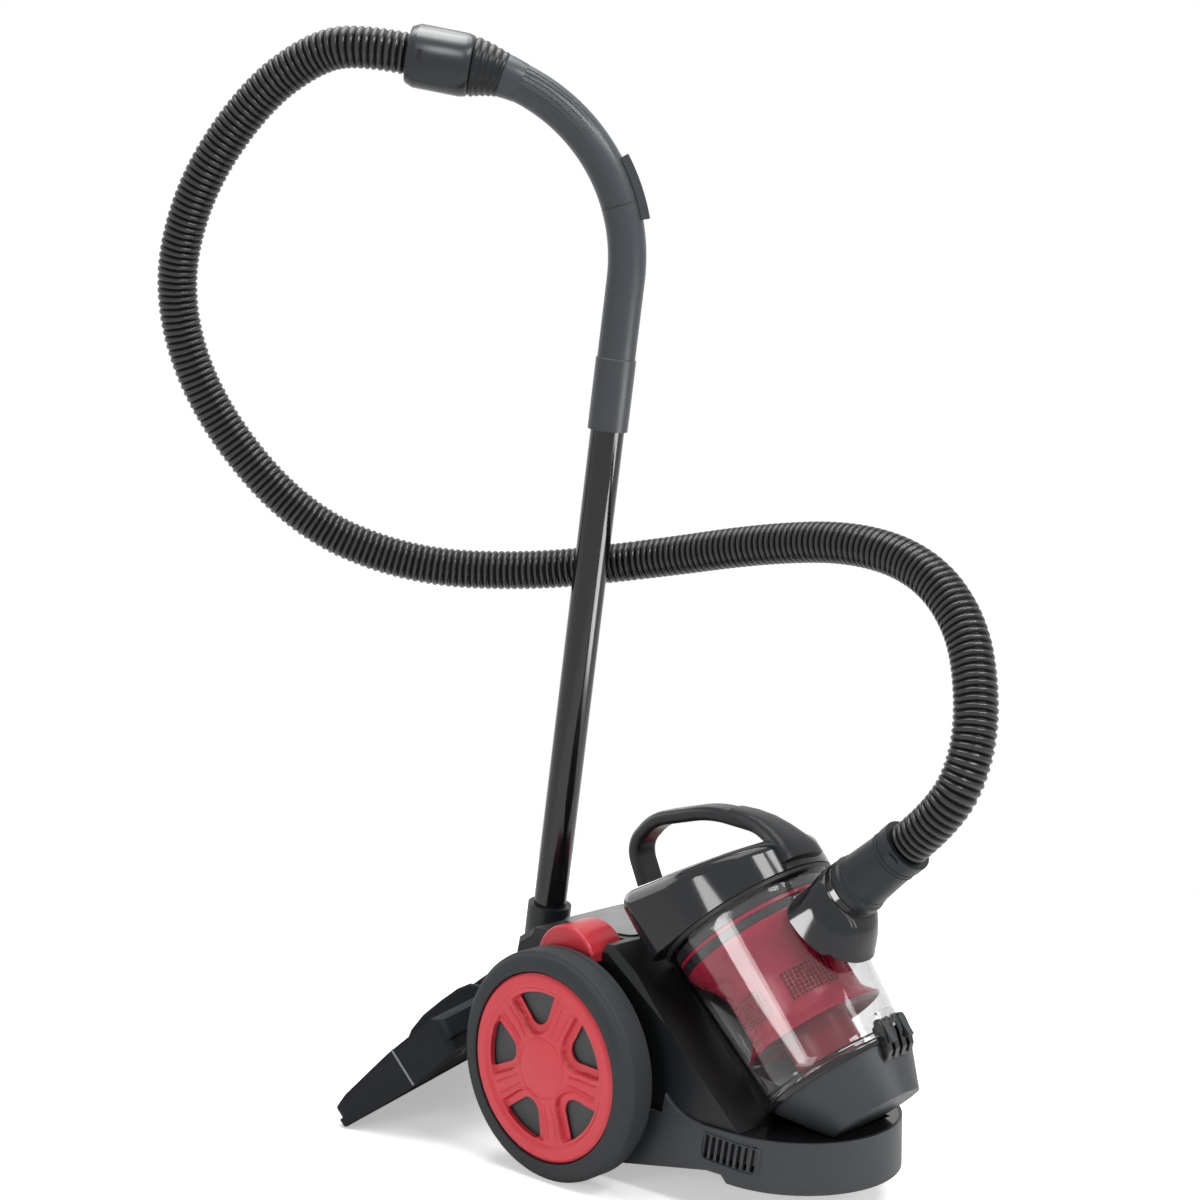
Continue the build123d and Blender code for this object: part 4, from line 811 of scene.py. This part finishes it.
def grid_tree():
    """Geometry nodes that make a round grid of bars: rings, and staves between them."""
    tree, given = node_tree("cyclone_grid", {
        "Rings": "Int", "Staves": "Int", "Radius": "Float", "Height": "Float", "Bar": "Float"})
    path = add_node(tree, "GeometryNodeCurvePrimitiveCircle", {"Resolution": 96, "Radius": given["Radius"]})
    section = add_node(tree, "GeometryNodeCurvePrimitiveCircle", {"Resolution": 6, "Radius": given["Bar"]})
    ring = add_node(tree, "GeometryNodeCurveToMesh", {"Curve": path["Curve"], "Profile Curve": section["Curve"]})
    tops = add_node(tree, "ShaderNodeCombineXYZ", {"Z": given["Height"]})
    levels = add_node(tree, "GeometryNodeMeshLine", {"Count": given["Rings"], "Offset": tops[0]}, mode="END_POINTS")
    rings = add_node(tree, "GeometryNodeInstanceOnPoints", {"Points": levels["Mesh"], "Instance": ring["Mesh"]})
    stave = add_node(tree, "GeometryNodeMeshCylinder", {
        "Vertices": 6, "Radius": given["Bar"], "Depth": given["Height"]})
    lift = add_node(tree, "ShaderNodeCombineXYZ", {"Z": math_node(tree, "MULTIPLY", given["Height"], 0.5)})
    raised = add_node(tree, "GeometryNodeTransform", {"Geometry": stave["Mesh"], "Translation": lift[0]})
    around = add_node(tree, "GeometryNodeMeshCircle", {"Vertices": given["Staves"], "Radius": given["Radius"]})
    staves = add_node(tree, "GeometryNodeInstanceOnPoints", {
        "Points": around["Mesh"], "Instance": raised["Geometry"]})
    both = add_node(tree, "GeometryNodeJoinGeometry", {"Geometry": [rings["Instances"], staves["Instances"]]})
    return finish_tree(tree, given, both["Geometry"])


# Wall of the clear cup, radius and height
CUP_WALL = [(63.5, 0.2), (64, 0), (68, 0), (68.5, 0.5), (68.5, 3.6), (68.2, 4.2), (66.8, 5.2), (66.5, 6), (79.4, 149.6),
            (79.9, 150.4), (81.6, 151.8), (82, 152.6), (82, 155.5), (81.5, 156), (78, 156), (77.5, 155.5)]
WALL_CELL = 7
INLET_HOLE = [(0, 40), (20, 40), (20, 110), (0, 110)]


def clear_cup():
    """The clear cup: a turned wall with rims, the inlet's hole and the lug of the flap's hinge."""
    profile = []
    for (r0, z0), (r1, z1) in zip(CUP_WALL, CUP_WALL[1:] + CUP_WALL[:1]):
        cuts = max(1, round(abs(z1 - z0) / WALL_CELL))
        profile += [(r0 + (r1 - r0) * k / cuts, z0 + (z1 - z0) * k / cuts) for k in range(cuts)]
    wall = in_scene("wall", lathe("cup_wall", profile, CUP_FRAME, 192))
    cutter = in_scene("hole", lathe("hole", INLET_HOLE, INLET_FRAME, 64))
    cut = wall.modifiers.new("hole", "BOOLEAN")
    cut.object = cutter
    cut.solver = "EXACT"
    shell = baked(wall)
    bpy.data.objects.remove(wall)
    bpy.data.objects.remove(cutter)
    lug = bar("lug", (67.5, -7.8, 4.5), (77.5, 7.8, 18.6), CUP_FRAME)
    cup = joined("clear_cup", [shell, lug])
    placed("clear_cup", cup, "dust_bin", SLOT["dust_cup"], ["dust_cup"], angle=28)


# Sections of the cyclone, radius and height
CYCLONE_BOWL = [(75.4, 140.5), (75.4, 137), (69.3, 137), (69.3, 129.2), (74.2, 128.8), (74.4, 127.6), (73.2, 124),
                (69.5, 118.5), (64.5, 112.5), (60, 106.5), (56.6, 100.5), (54.4, 94.5), (53.5, 88.5), (53.5, 85.5),
                (51, 85.5), (51.2, 90), (52.4, 97), (55.5, 104), (61, 112), (66.8, 120), (66.8, 140.5)]
CYCLONE_SKIRT = [(53.5, 60.5), (53.5, 54.5), (54.6, 51), (57.4, 47), (61, 43.2), (63.8, 40.4), (64.2, 39.2),
                 (63.2, 38.8), (59.5, 41), (54.5, 44.2), (48, 46.4), (34, 47), (34, 49), (49, 49), (51, 52), (51, 60.5)]
CYCLONE_CONE = [(28.8, 4), (31, 4), (31.4, 34), (32.2, 39), (34.2, 43), (38, 45.6), (44, 46.6), (44, 47.6), (30, 47.6)]
CYCLONE_SCREEN = [(50.8, 57.5), (51.6, 57.5), (51.6, 88.5), (50.8, 88.5)]
UPRIGHTS = (-66, 6, 78, 150, 222)
UPRIGHT_HALF = 11
CYCLONE_GRID = {"Rings": 8, "Staves": 84, "Radius": 0.0526, "Height": 0.026, "Bar": 0.0006}
GRID_FOOT = 0.06


def cyclone():
    """Builds the cyclone in the cup: a bowl and a skirt joined by uprights, a grid round them, and the cone below."""
    pieces = [lathe("part", profile, CUP_FRAME, 160) for profile in (CYCLONE_BOWL, CYCLONE_SKIRT)]
    for turn in UPRIGHTS:
        arc = [radians(turn + UPRIGHT_HALF * (k / 6 - 1)) for k in range(13)]
        outline = [(r * cos(a), r * sin(a)) for r, ends in ((53.5, arc), (51, arc[::-1])) for a in ends]
        pieces.append(extruded("part", outline, 59.8, 86.2, CUP_FRAME))
    drum = joined("cyclone_drum", pieces)
    placed("cyclone_drum", drum, "dust_bin", "cyclone_red", ["cyclone_body"], angle=35)
    cone = lathe("cyclone_stem", CYCLONE_CONE, CUP_FRAME)
    # The cone takes a darker copy of the cyclone's red, as painted shade
    placed("cyclone_stem", cone, "dust_bin", "cyclone_red", ["cyclone_cone"], finish="cone_red_shaded", angle=35)
    grid = grown("cyclone_grid", grid_tree(), {**CYCLONE_GRID, "Material": finish_for("cyclone_red")})
    grid.data.transform(CUP_FRAME @ Matrix.Translation((0, 0, GRID_FOOT)))
    fixed(grid, "dust_bin")
    screen = lathe("cyclone_screen", CYCLONE_SCREEN, CUP_FRAME)
    placed("cyclone_screen", screen, "dust_bin", "mesh_steel", ["cyclone_mesh"], finish="screen_red", angle=40)


# Beads on the hose's connector: place along the inlet's axis and radius, and their section
BEADS = ((126.5, 24.4), (164, 22.5), (168, 22.3))
BEAD_SECTION = ((-0.6, -1.3), (0.3, -0.9), (0.6, 0), (0.3, 0.9), (-0.6, 1.3))
STUD_PLACE = 0.1755


def connector_beads():
    """Beads and a stud on the hose's connector."""
    beads = [lathe("bead", [(radius + r, along + z) for r, z in BEAD_SECTION], INLET_FRAME, 96)
             for along, radius in BEADS]
    ahead = Vector((0.6, -0.78, 0.2)).normalized()
    stud = axes(INLET + CUP_FRONT * STUD_PLACE, CUP_FRONT, ahead - CUP_FRONT * ahead.dot(CUP_FRONT))
    beads.append(extruded("stud", oval(3.6, 5.5, 5.5, 32, 5), 21, 24.8, stud))
    return joined("connector_beads", beads)


# Turned rings of the cup: name, section, steps round, slot and finish
CUP_RINGS = (
    ("cup_ring", [(69.5, 129.5), (74.2, 129.2), (74.8, 136.6), (69.5, 136.6)], 128, "seal_black", "seal_black"),
    ("rim_band", [(80.3, 151.2), (82.4, 151.4), (83.2, 152.2), (83.2, 155.3), (82.4, 155.9), (80.3, 155.9)], 160,
     "seal_black", "seal_black"),
    ("flap_lip", [(69.4, -0.5), (71.2, -0.6), (71.6, -1.4), (71.4, -4.2), (70.6, -5.8), (68.2, -6)], 160,
     "housing_charcoal", "black_gloss"),
)
# Outline of the comb under the flap, outwards and up; the middles of its ribs, their half width, and the web behind
COMB = [(64, -21), (71.5, -15.5), (76.4, -3), (77.8, 6), (77.4, 10), (74.6, 12.4), (71.4, 11.6), (70.2, 8), (66, 2)]
COMB_RIBS = (-15, -5, 5, 15)
COMB_HALF = 3
COMB_WEB = [(x - 3.2, z) for x, z in COMB[:5]] + [(66, 8)]


def flap_comb():
    """Comb of ribs under the flap's hinge."""
    side = axes(CUP_FOOT, CUP_FRONT, (0, -1, 0))
    ribs = [extruded("rib", COMB, middle - COMB_HALF, middle + COMB_HALF, side) for middle in COMB_RIBS]
    return joined("flap_comb", [*ribs, extruded("web", COMB_WEB, -17, 17, side)])


class VACUUM_OT_dust_bin(bpy.types.Operator):
    """Builds the dust bin: cup, cyclone, lid, handle, inlet and flap"""

    bl_idname = "vacuum.dust_bin"
    bl_label = "Dust Bin"

    def execute(self, context):
        for node in ("pleated_filter", "lid_seal", "cup_lid", "release_button", "bottom_flap", "flap_latch", "flap_pin",
                     "flap_seal", "hose_connector"):
            skin(node, 0.0005)
        cyclone()
        skin("carry_handle", 0.0005, finish="handle_black")
        clear_cup()
        placed("connector_beads", connector_beads(), BODY["hose_connector"], SLOT["hose_connector"], angle=40)
        placed("inlet_snout", snout_mesh(), "dust_bin", "lid_charcoal", ["inlet_elbow"], angle=35)
        placed("handle_root", handle_root(), "dust_bin", "black_gloss", finish="handle_black", angle=40)
        for name, profile, steps, slot, finish in CUP_RINGS:
            placed(name, lathe(name, profile, CUP_FRAME, steps), "dust_bin", slot, finish=finish, angle=40)
        comb = placed("flap_comb", flap_comb(), "dust_bin", "housing_charcoal", finish="black_gloss")
        rounded_edges(comb, 0.0008)
        return {"FINISHED"}


# Bellows between grip and cuff: start and length on the bend in degrees, radii at the ends, folds and rings
COLLAR_START = 76.1
COLLAR_SPAN = 9.8
COLLAR_R = (0.0196, 0.0268)
COLLAR_FOLDS = 5
COLLAR_RINGS = 60


def collar_mesh():
    """Bellows between the grip and the cuff that widen towards the cuff."""
    rings = []
    for k in range(COLLAR_RINGS + 1):
        t = k / COLLAR_RINGS
        wave = 0.5 - 0.5 * cos(2 * pi * t * COLLAR_FOLDS)
        radius = (COLLAR_R[0] + (COLLAR_R[1] - COLLAR_R[0]) * t) * (0.95 + 0.05 * wave**0.7)
        rings.append(circle(bend_frame(COLLAR_START + COLLAR_SPAN * t), radius, 56))
    return skinned_rings("collar", rings)


# Sleeve at the grip's end: places on the bend in degrees with radii in mm; turns of the ribs and where they start
SLEEVE = ((70.5, 17.2), (70.6, 17.75), (71, 17.95), (73, 18.5), (75, 19.1), (76.4, 19.3))
RIB_TURNS = (72, 86, 100, 114, 128, 142, -72, -86, -100, -114, -128, -142)
RIB_START = 70.6
RIB_SPAN = 26
RIB_STEPS = 36


def sleeve_mesh():
    """The sleeve that widens from the grip to the bellows, with fine ribs along the grip behind it."""
    parts = [skinned_rings("sleeve", [circle(bend_frame(degrees), r * MM, 64) for degrees, r in SLEEVE])]
    for turn in RIB_TURNS:
        out = Vector((cos(radians(turn)), sin(radians(turn)), 0))
        crest = axes(out * GRIP_R, out, (0, 0, 1))
        rings = []
        for k in range(RIB_STEPS + 1):
            wire = 0.0005 * (1 - (k / RIB_STEPS) ** 4) + 0.0001
            rings.append(circle(bend_frame(RIB_START - RIB_SPAN * k / RIB_STEPS) @ crest, wire, 8))
        parts.append(skinned_rings("rib", rings))
    return joined("grip_sleeve", parts)


SEAM_TURN = 22.5
SEAM_WIRE = 0.35
NOTCH_PLACE = 0.047


def grip_seam():
    """A thin ring round the grip's bend."""
    turns = [pi * k / 4 for k in range(8)]
    profile = [(GRIP_R / MM + SEAM_WIRE * cos(turn), SEAM_WIRE * sin(turn)) for turn in turns]
    return lathe("grip_seam", profile, bend_frame(SEAM_TURN), 64)


class VACUUM_OT_wand(bpy.types.Operator):
    """Builds the wand: tube, grip, slider, collar and cuff"""

    bl_idname = "vacuum.wand"
    bl_label = "Wand"

    def execute(self, context):
        for node in ("wand_tube", "grip", "air_slider"):
            skin(node)
        skin("neck", finish="connector_grey")
        placed("collar_bellows", collar_mesh(), "wand", "hose_black", ["cuff_collar"], finish="collar_black", angle=180)
        skin("hose_cuff", 0.0012, finish="cuff_gloss")
        placed("grip_sleeve", sleeve_mesh(), "wand", "grip_satin", angle=40)
        placed("grip_seam", grip_seam(), "wand", "grip_satin", finish="seal_black", angle=60)
        # A black bar, slightly proud of the cuff, paints the shade of the notch instead of cutting the notch in
        place = axes(CUFF_ROOT + CUFF_OUT * NOTCH_PLACE, CUFF_OUT, Vector((0.7, -0.7, -0.12)))
        notch = bar("cuff_notch_shade", (-2, -5, 26.2), (2, 5, 28.4), place)
        rounded_edges(placed("cuff_notch_shade", notch, "cuff", "grip_satin", finish="seal_black"), 0.0006)
        return {"FINISHED"}


def brush_tree():
    """Geometry nodes that set tufts of bristles along a line."""
    tree, given = node_tree("bristles", {"Tufts": "Int", "Half Length": "Float", "Bristle": "Float", "Seed": "Int"})
    ends = [add_node(tree, "ShaderNodeCombineXYZ", {"Y": math_node(tree, "MULTIPLY", given["Half Length"], sign)})
            for sign in (-1, 1)]
    line = add_node(tree, "GeometryNodeMeshLine", {
        "Count": given["Tufts"], "Start Location": ends[0][0], "Offset": ends[1][0]}, mode="END_POINTS")
    bristle = add_node(tree, "GeometryNodeMeshCone", {
        "Vertices": 6, "Radius Top": 0.0007, "Radius Bottom": 0.001, "Depth": given["Bristle"]})
    lean = add_node(tree, "FunctionNodeRandomValue", {
        0: (pi - 0.1, -0.1, 0), 1: (pi + 0.1, 0.1, 6), "Seed": given["Seed"]}, data_type="FLOAT_VECTOR")
    tufts = add_node(tree, "GeometryNodeInstanceOnPoints", {
        "Points": line["Mesh"], "Instance": bristle["Mesh"], "Rotation": lean["Value"]})
    return finish_tree(tree, given, tufts["Instances"])


HEAD_PIVOT = Vector((-0.1865, -0.0164, 0.1))
HEAD_YAW = radians(17)
HEAD_PITCH = radians(38)
HEAD_TOE = Vector((-cos(HEAD_YAW) * cos(HEAD_PITCH), -sin(HEAD_YAW) * cos(HEAD_PITCH), -sin(HEAD_PITCH)))
HEAD_UP = Vector((-cos(HEAD_YAW) * sin(HEAD_PITCH), -sin(HEAD_YAW) * sin(HEAD_PITCH), cos(HEAD_PITCH)))
HEAD_FRAME = axes(HEAD_PIVOT, HEAD_TOE, HEAD_UP)


# Outline of the cheeks beside the neck, along the head and up, and the seam on the shell's sides and top
CHEEK = [(-20, 6), (-18, 18), (-8, 26), (6, 29), (30, 29.5), (56, 28.5), (76, 24), (90, 16.5), (99, 8), (102, 1)]
SEAM_SIDE = [(37, 9.5), (37, -28.8), (39.2, -29), (39.2, 9.4)]
SEAM_TOP = [(37, 8.6), (37, 9.5), (39.2, 9.4), (39.2, 8.5)]
# Rows of bristles: name and place along the head, the form of a row, and the height of its middle
BRISTLE_ROWS = (("front", 0.1113), ("rear", 0.1087))
BRISTLES = {"Tufts": 110, "Half Length": 0.1085, "Bristle": 0.0078, "Seed": 4}
BRISTLE_HEIGHT = -0.0162


def both_sides(name, outline, inner, outer):
    """Two pieces of an outline across the head, one on each side of its middle."""
    place = axes(HEAD_PIVOT, HEAD_TOE, HEAD_UP.cross(HEAD_TOE) * -1)
    return [extruded(name, outline, low, high, place) for low, high in ((-outer, -inner), (inner, outer))]


class VACUUM_OT_floor_head(bpy.types.Operator):
    """Builds the floor head: shell, sole plate, pedal, brush and rollers"""

    bl_idname = "vacuum.floor_head"
    bl_label = "Floor Head"

    def execute(self, context):
        for node in ("head_shell", "sole_plate", "head_pedal", "right_roller", "left_roller"):
            skin(node, 0.0008, finish="head_black" if node in ("head_shell", "sole_plate") else None)
        cheeks = joined("neck_cheeks", both_sides("cheek", CHEEK, 24.5, 33.5))
        cheeks = placed("neck_cheeks", cheeks, "floor_head", SLOT["head_shell"], finish="head_black")
        rounded_edges(cheeks, 0.003, segments=3)
        lines = both_sides("line", SEAM_SIDE, 129.9, 130.5) + both_sides("line", SEAM_TOP, 34, 130.5)
        placed("head_seam", joined("head_seam", lines), "floor_head", SLOT["head_shell"], finish="seam_grey")
        tree = brush_tree()
        for name, x in BRISTLE_ROWS:
            tufts = grown(f"{name}_bristles", tree, {**BRISTLES, "Material": finish_for("brush_black")})
            tufts.data.transform(HEAD_FRAME @ Matrix.Translation((x, 0, BRISTLE_HEIGHT)))
            fixed(tufts, "brush")
        holder = bar("brush_holder", (107.6, -109.8, -17.2), (112.4, 109.8, -14.7), HEAD_FRAME)
        rounded_edges(placed("brush_holder", holder, "brush", "brush_black", ["head_brush"]), 0.0004)
        return {"FINISHED"}


class VACUUM_OT_inside(bpy.types.Operator):
    """Gives the pieces inside the housing their finishes"""

    bl_idname = "vacuum.inside"
    bl_label = "Inside"

    def execute(self, context):
        for node, obj in NODES.items():
            if not obj.hide_render:
                obj.data.materials.clear()
                obj.data.materials.append(finish_for(SLOT[node]))
        return {"FINISHED"}


# Studio: floor, camera, and the lamps with their names, places, aims, widths, heights and shares of the key light
WHITE = (1, 1, 1, 1)
FLOOR_R = 1.3
FLOOR_SIDES = 96
FLOOR_GLOW = 0.42
CAMERA_PLACE = (1.2467, -1.3938, 0.6661)
CAMERA_TURN = (radians(90 - 4.85), 0, radians(43.1))
CAMERA_LENS = 61.8
MIDDLE = (0.05, 0, 0.35)
# Lamps on everything
LAMPS = (
    ("overhead", (0.1, 0.2, 2.6), (0.1, 0, 0), 2.4, 2.4, 0.76),
    ("top_box", (-0.2, 0.05, 2.15), (-0.2, 0, 0), 1.3, 1.3, 0.5),
    ("flank_fill", (0.08, -2.3, 0.55), (0.08, 0, 0.5), 0.66, 1.3, 0.53),
    ("front_fill", (2.3, 0.5, 0.95), MIDDLE, 0.4, 1.6, 0.55),
)
# Cards that only show as reflections on the named objects
CARDS = (
    ("cup_card", (0.17, -2.3, 0.45), (0.17, 0, 0.3), 0.85, 1.3, 0.41, ("clear_cup", "rim_band")),
    ("lid_card", (0.17, -2.3, 0.45), (0.17, 0, 0.3), 0.85, 1.3, 1.15, ("cup_lid_skin",)),
    ("wand_card", (0.95, 0.4, 0.21), (-0.1, 0, 0.45), 0.56, 0.42, 0.19,
     ("wand_tube_skin", "grip_sleeve", "grip_skin")),
    ("deck_card", (-1.0, 1.06, 0.6), (0, 0, 0.2), 0.9, 0.5, 0.034, ("deck_panel", "upper_housing_skin")),
    ("edge_card", (-1.17, -0.12, 0.59), (0.1, -0.08, 0.3), 2.2, 0.85, 0.38,
     ("cup_lid_skin", "carry_handle_skin", "handle_root")),
    ("cuff_card", (0.6, -0.98, 1.56), (-0.2, -0.13, 1.0), 0.6, 0.4, 0.17, ("hose_cuff_skin", "grip_skin")),
    ("cuff_top", (-0.15, -0.18, 2.1), (-0.2, -0.13, 1.0), 0.8, 0.8, 0.4, ("hose_cuff_skin", "grip_skin")),
    ("inlet_card", (-0.07, -0.44, 0.12), (0.2, -0.03, 0.25), 0.26, 0.24, 0.095, ("inlet_snout",)),
    ("front_card", (2.3, 0.5, 0.95), MIDDLE, 0.5, 1.6, 0.85,
     ("bottom_flap_skin", "lower_housing_skin", "inlet_snout", "carry_handle_skin", "handle_root", "right_fender")),
)
# Window panes that show in the gloss
PANES = (
    ("window_pane", (1.45, -0.28, 1.95), (0.2, 0, 0.25), 0.5, 0.42, 0.24),
    ("window_pane", (1.38, 0.42, 1.9), (0.2, 0, 0.25), 0.5, 0.42, 0.24),
)


def area_light(name, place, target, width, tall, power):
    """A soft rectangular light that faces a target."""
    light = bpy.data.lights.new(name, "AREA")
    light.shape = "RECTANGLE"
    light.size = width
    light.size_y = tall
    light.energy = power
    obj = in_scene(name, light)
    obj.location = place
    obj.rotation_euler = (Vector(target) - Vector(place)).to_track_quat("-Z", "Y").to_euler()
    return obj


def lit_only(lamp, names):
    """Keeps a lamp's light on the named objects."""
    takers = bpy.data.collections.new(f"{lamp.name}_takers")
    for name in names:
        takers.objects.link(bpy.data.objects[name])
    lamp.light_linking.receiver_collection = takers


def build_floor():
    """White floor that glows a little for the camera."""
    mesh = bpy.data.meshes.new("floor")
    mesh.from_pydata(circle(Matrix.Identity(4), FLOOR_R, FLOOR_SIDES), [], [list(range(FLOOR_SIDES))])
    floor = in_scene("floor", mesh)
    paint = bpy.data.materials.new("studio_floor")
    paint.use_nodes = True
    tree = paint.node_tree
    sight = add_node(tree, "ShaderNodeLightPath", {})["Is Camera Ray"]
    set_inputs(tree, tree.nodes["Principled BSDF"], {
        "Base Color": (0.92, 0.92, 0.92, 1), "Roughness": 0.9, "Emission Color": WHITE,
        "Emission Strength": math_node(tree, "MULTIPLY", sight, FLOOR_GLOW)})
    mesh.materials.append(paint)


def build_surround(scene, strength):
    """World that is white to see, in reflections and through the cup, and a dimmer light that fades upwards."""
    world = bpy.data.worlds.new("studio")
    world.use_nodes = True
    tree = world.node_tree
    tree.nodes.clear()
    ray = add_node(tree, "ShaderNodeLightPath", {})
    sky = add_node(tree, "ShaderNodeTexCoord", {})
    height = add_node(tree, "ShaderNodeSeparateXYZ", {0: sky["Generated"]})
    fade = add_node(tree, "ShaderNodeMapRange", {
        "Value": height["Z"], "From Min": 0.05, "From Max": 0.6, "To Min": strength * 1.15, "To Max": strength * 0.6},
        interpolation_type="SMOOTHSTEP")
    seen = add_node(tree, "ShaderNodeBackground", {"Color": WHITE, "Strength": 1})
    fill = add_node(tree, "ShaderNodeBackground", {"Color": WHITE, "Strength": fade["Result"]})
    sight = math_node(tree, "MAXIMUM", ray["Is Camera Ray"], ray["Is Transmission Ray"])
    shine = math_node(tree, "MAXIMUM", sight, ray["Is Glossy Ray"])
    both = add_node(tree, "ShaderNodeMixShader", {0: shine, 1: fill[0], 2: seen[0]})
    add_node(tree, "ShaderNodeOutputWorld", {"Surface": both[0]})
    scene.world = world


def build_lamps(key):
    """Lamps, cards and window panes, as shares of the key light's power."""
    for name, place, aim, width, tall, share in LAMPS:
        lamp = area_light(name, place, aim, width, tall, key * share)
        lamp.visible_glossy = name == "top_box"
        lamp.visible_transmission = name != "overhead"
    for name, place, aim, width, tall, share, takers in CARDS:
        card = area_light(name, place, aim, width, tall, key * share)
        card.visible_diffuse = False
        card.visible_camera = False
        lit_only(card, takers)
    for name, place, aim, width, tall, share in PANES:
        area_light(name, place, aim, width, tall, key * share)


class VACUUM_OT_stage(bpy.types.Operator):
    """Builds the white studio: floor, surround, lights and camera"""

    bl_idname = "vacuum.stage"
    bl_label = "Stage"

    def execute(self, context):
        scene = context.scene
        build_floor()
        build_surround(scene, scene.vacuum_stage.fill)
        build_lamps(scene.vacuum_stage.key)
        lens = bpy.data.cameras.new("camera")
        lens.lens = CAMERA_LENS
        lens.sensor_width = 36
        scene.camera = in_scene("camera", lens)
        scene.camera.location = CAMERA_PLACE
        scene.camera.rotation_euler = CAMERA_TURN
        scene.view_settings.view_transform = "Standard"
        return {"FINISHED"}


class VACUUM_PT_panel(bpy.types.Panel):
    """Settings and build buttons of the vacuum cleaner"""

    bl_label = "Canister Vacuum Cleaner"
    bl_idname = "VACUUM_PT_panel"
    bl_space_type = "VIEW_3D"
    bl_region_type = "UI"
    bl_category = "Vacuum"

    def draw(self, context):
        scene = context.scene
        for group in (scene.vacuum_hose, scene.vacuum_wheels, scene.vacuum_stage):
            box = self.layout.box()
            for name in group.__annotations__:
                box.prop(group, name)
        for operator in OPERATORS:
            self.layout.operator(operator.bl_idname)


SETTINGS = {"vacuum_hose": HoseSettings, "vacuum_wheels": WheelSettings, "vacuum_stage": StageSettings}
OPERATORS = (VACUUM_OT_housing, VACUUM_OT_wheels, VACUUM_OT_dust_bin, VACUUM_OT_hose, VACUUM_OT_wand,
             VACUUM_OT_floor_head, VACUUM_OT_inside, VACUUM_OT_stage)


def register():
    """Registers the settings, operators and panel."""
    for name, group in SETTINGS.items():
        bpy.utils.register_class(group)
        setattr(bpy.types.Scene, name, bpy.props.PointerProperty(type=group))
    for operator in OPERATORS:
        bpy.utils.register_class(operator)
    bpy.utils.register_class(VACUUM_PT_panel)


def unregister():
    """Takes the settings, operators and panel out again."""
    bpy.utils.unregister_class(VACUUM_PT_panel)
    for operator in reversed(OPERATORS):
        bpy.utils.unregister_class(operator)
    for name, group in SETTINGS.items():
        delattr(bpy.types.Scene, name)
        bpy.utils.unregister_class(group)


def main():
    """Builds every piece in order."""
    register()
    bpy.ops.vacuum.housing()
    bpy.ops.vacuum.wheels()
    bpy.ops.vacuum.dust_bin()
    bpy.ops.vacuum.hose()
    bpy.ops.vacuum.wand()
    bpy.ops.vacuum.floor_head()
    bpy.ops.vacuum.inside()
    bpy.ops.vacuum.stage()


if __name__ == "__main__":
    main()
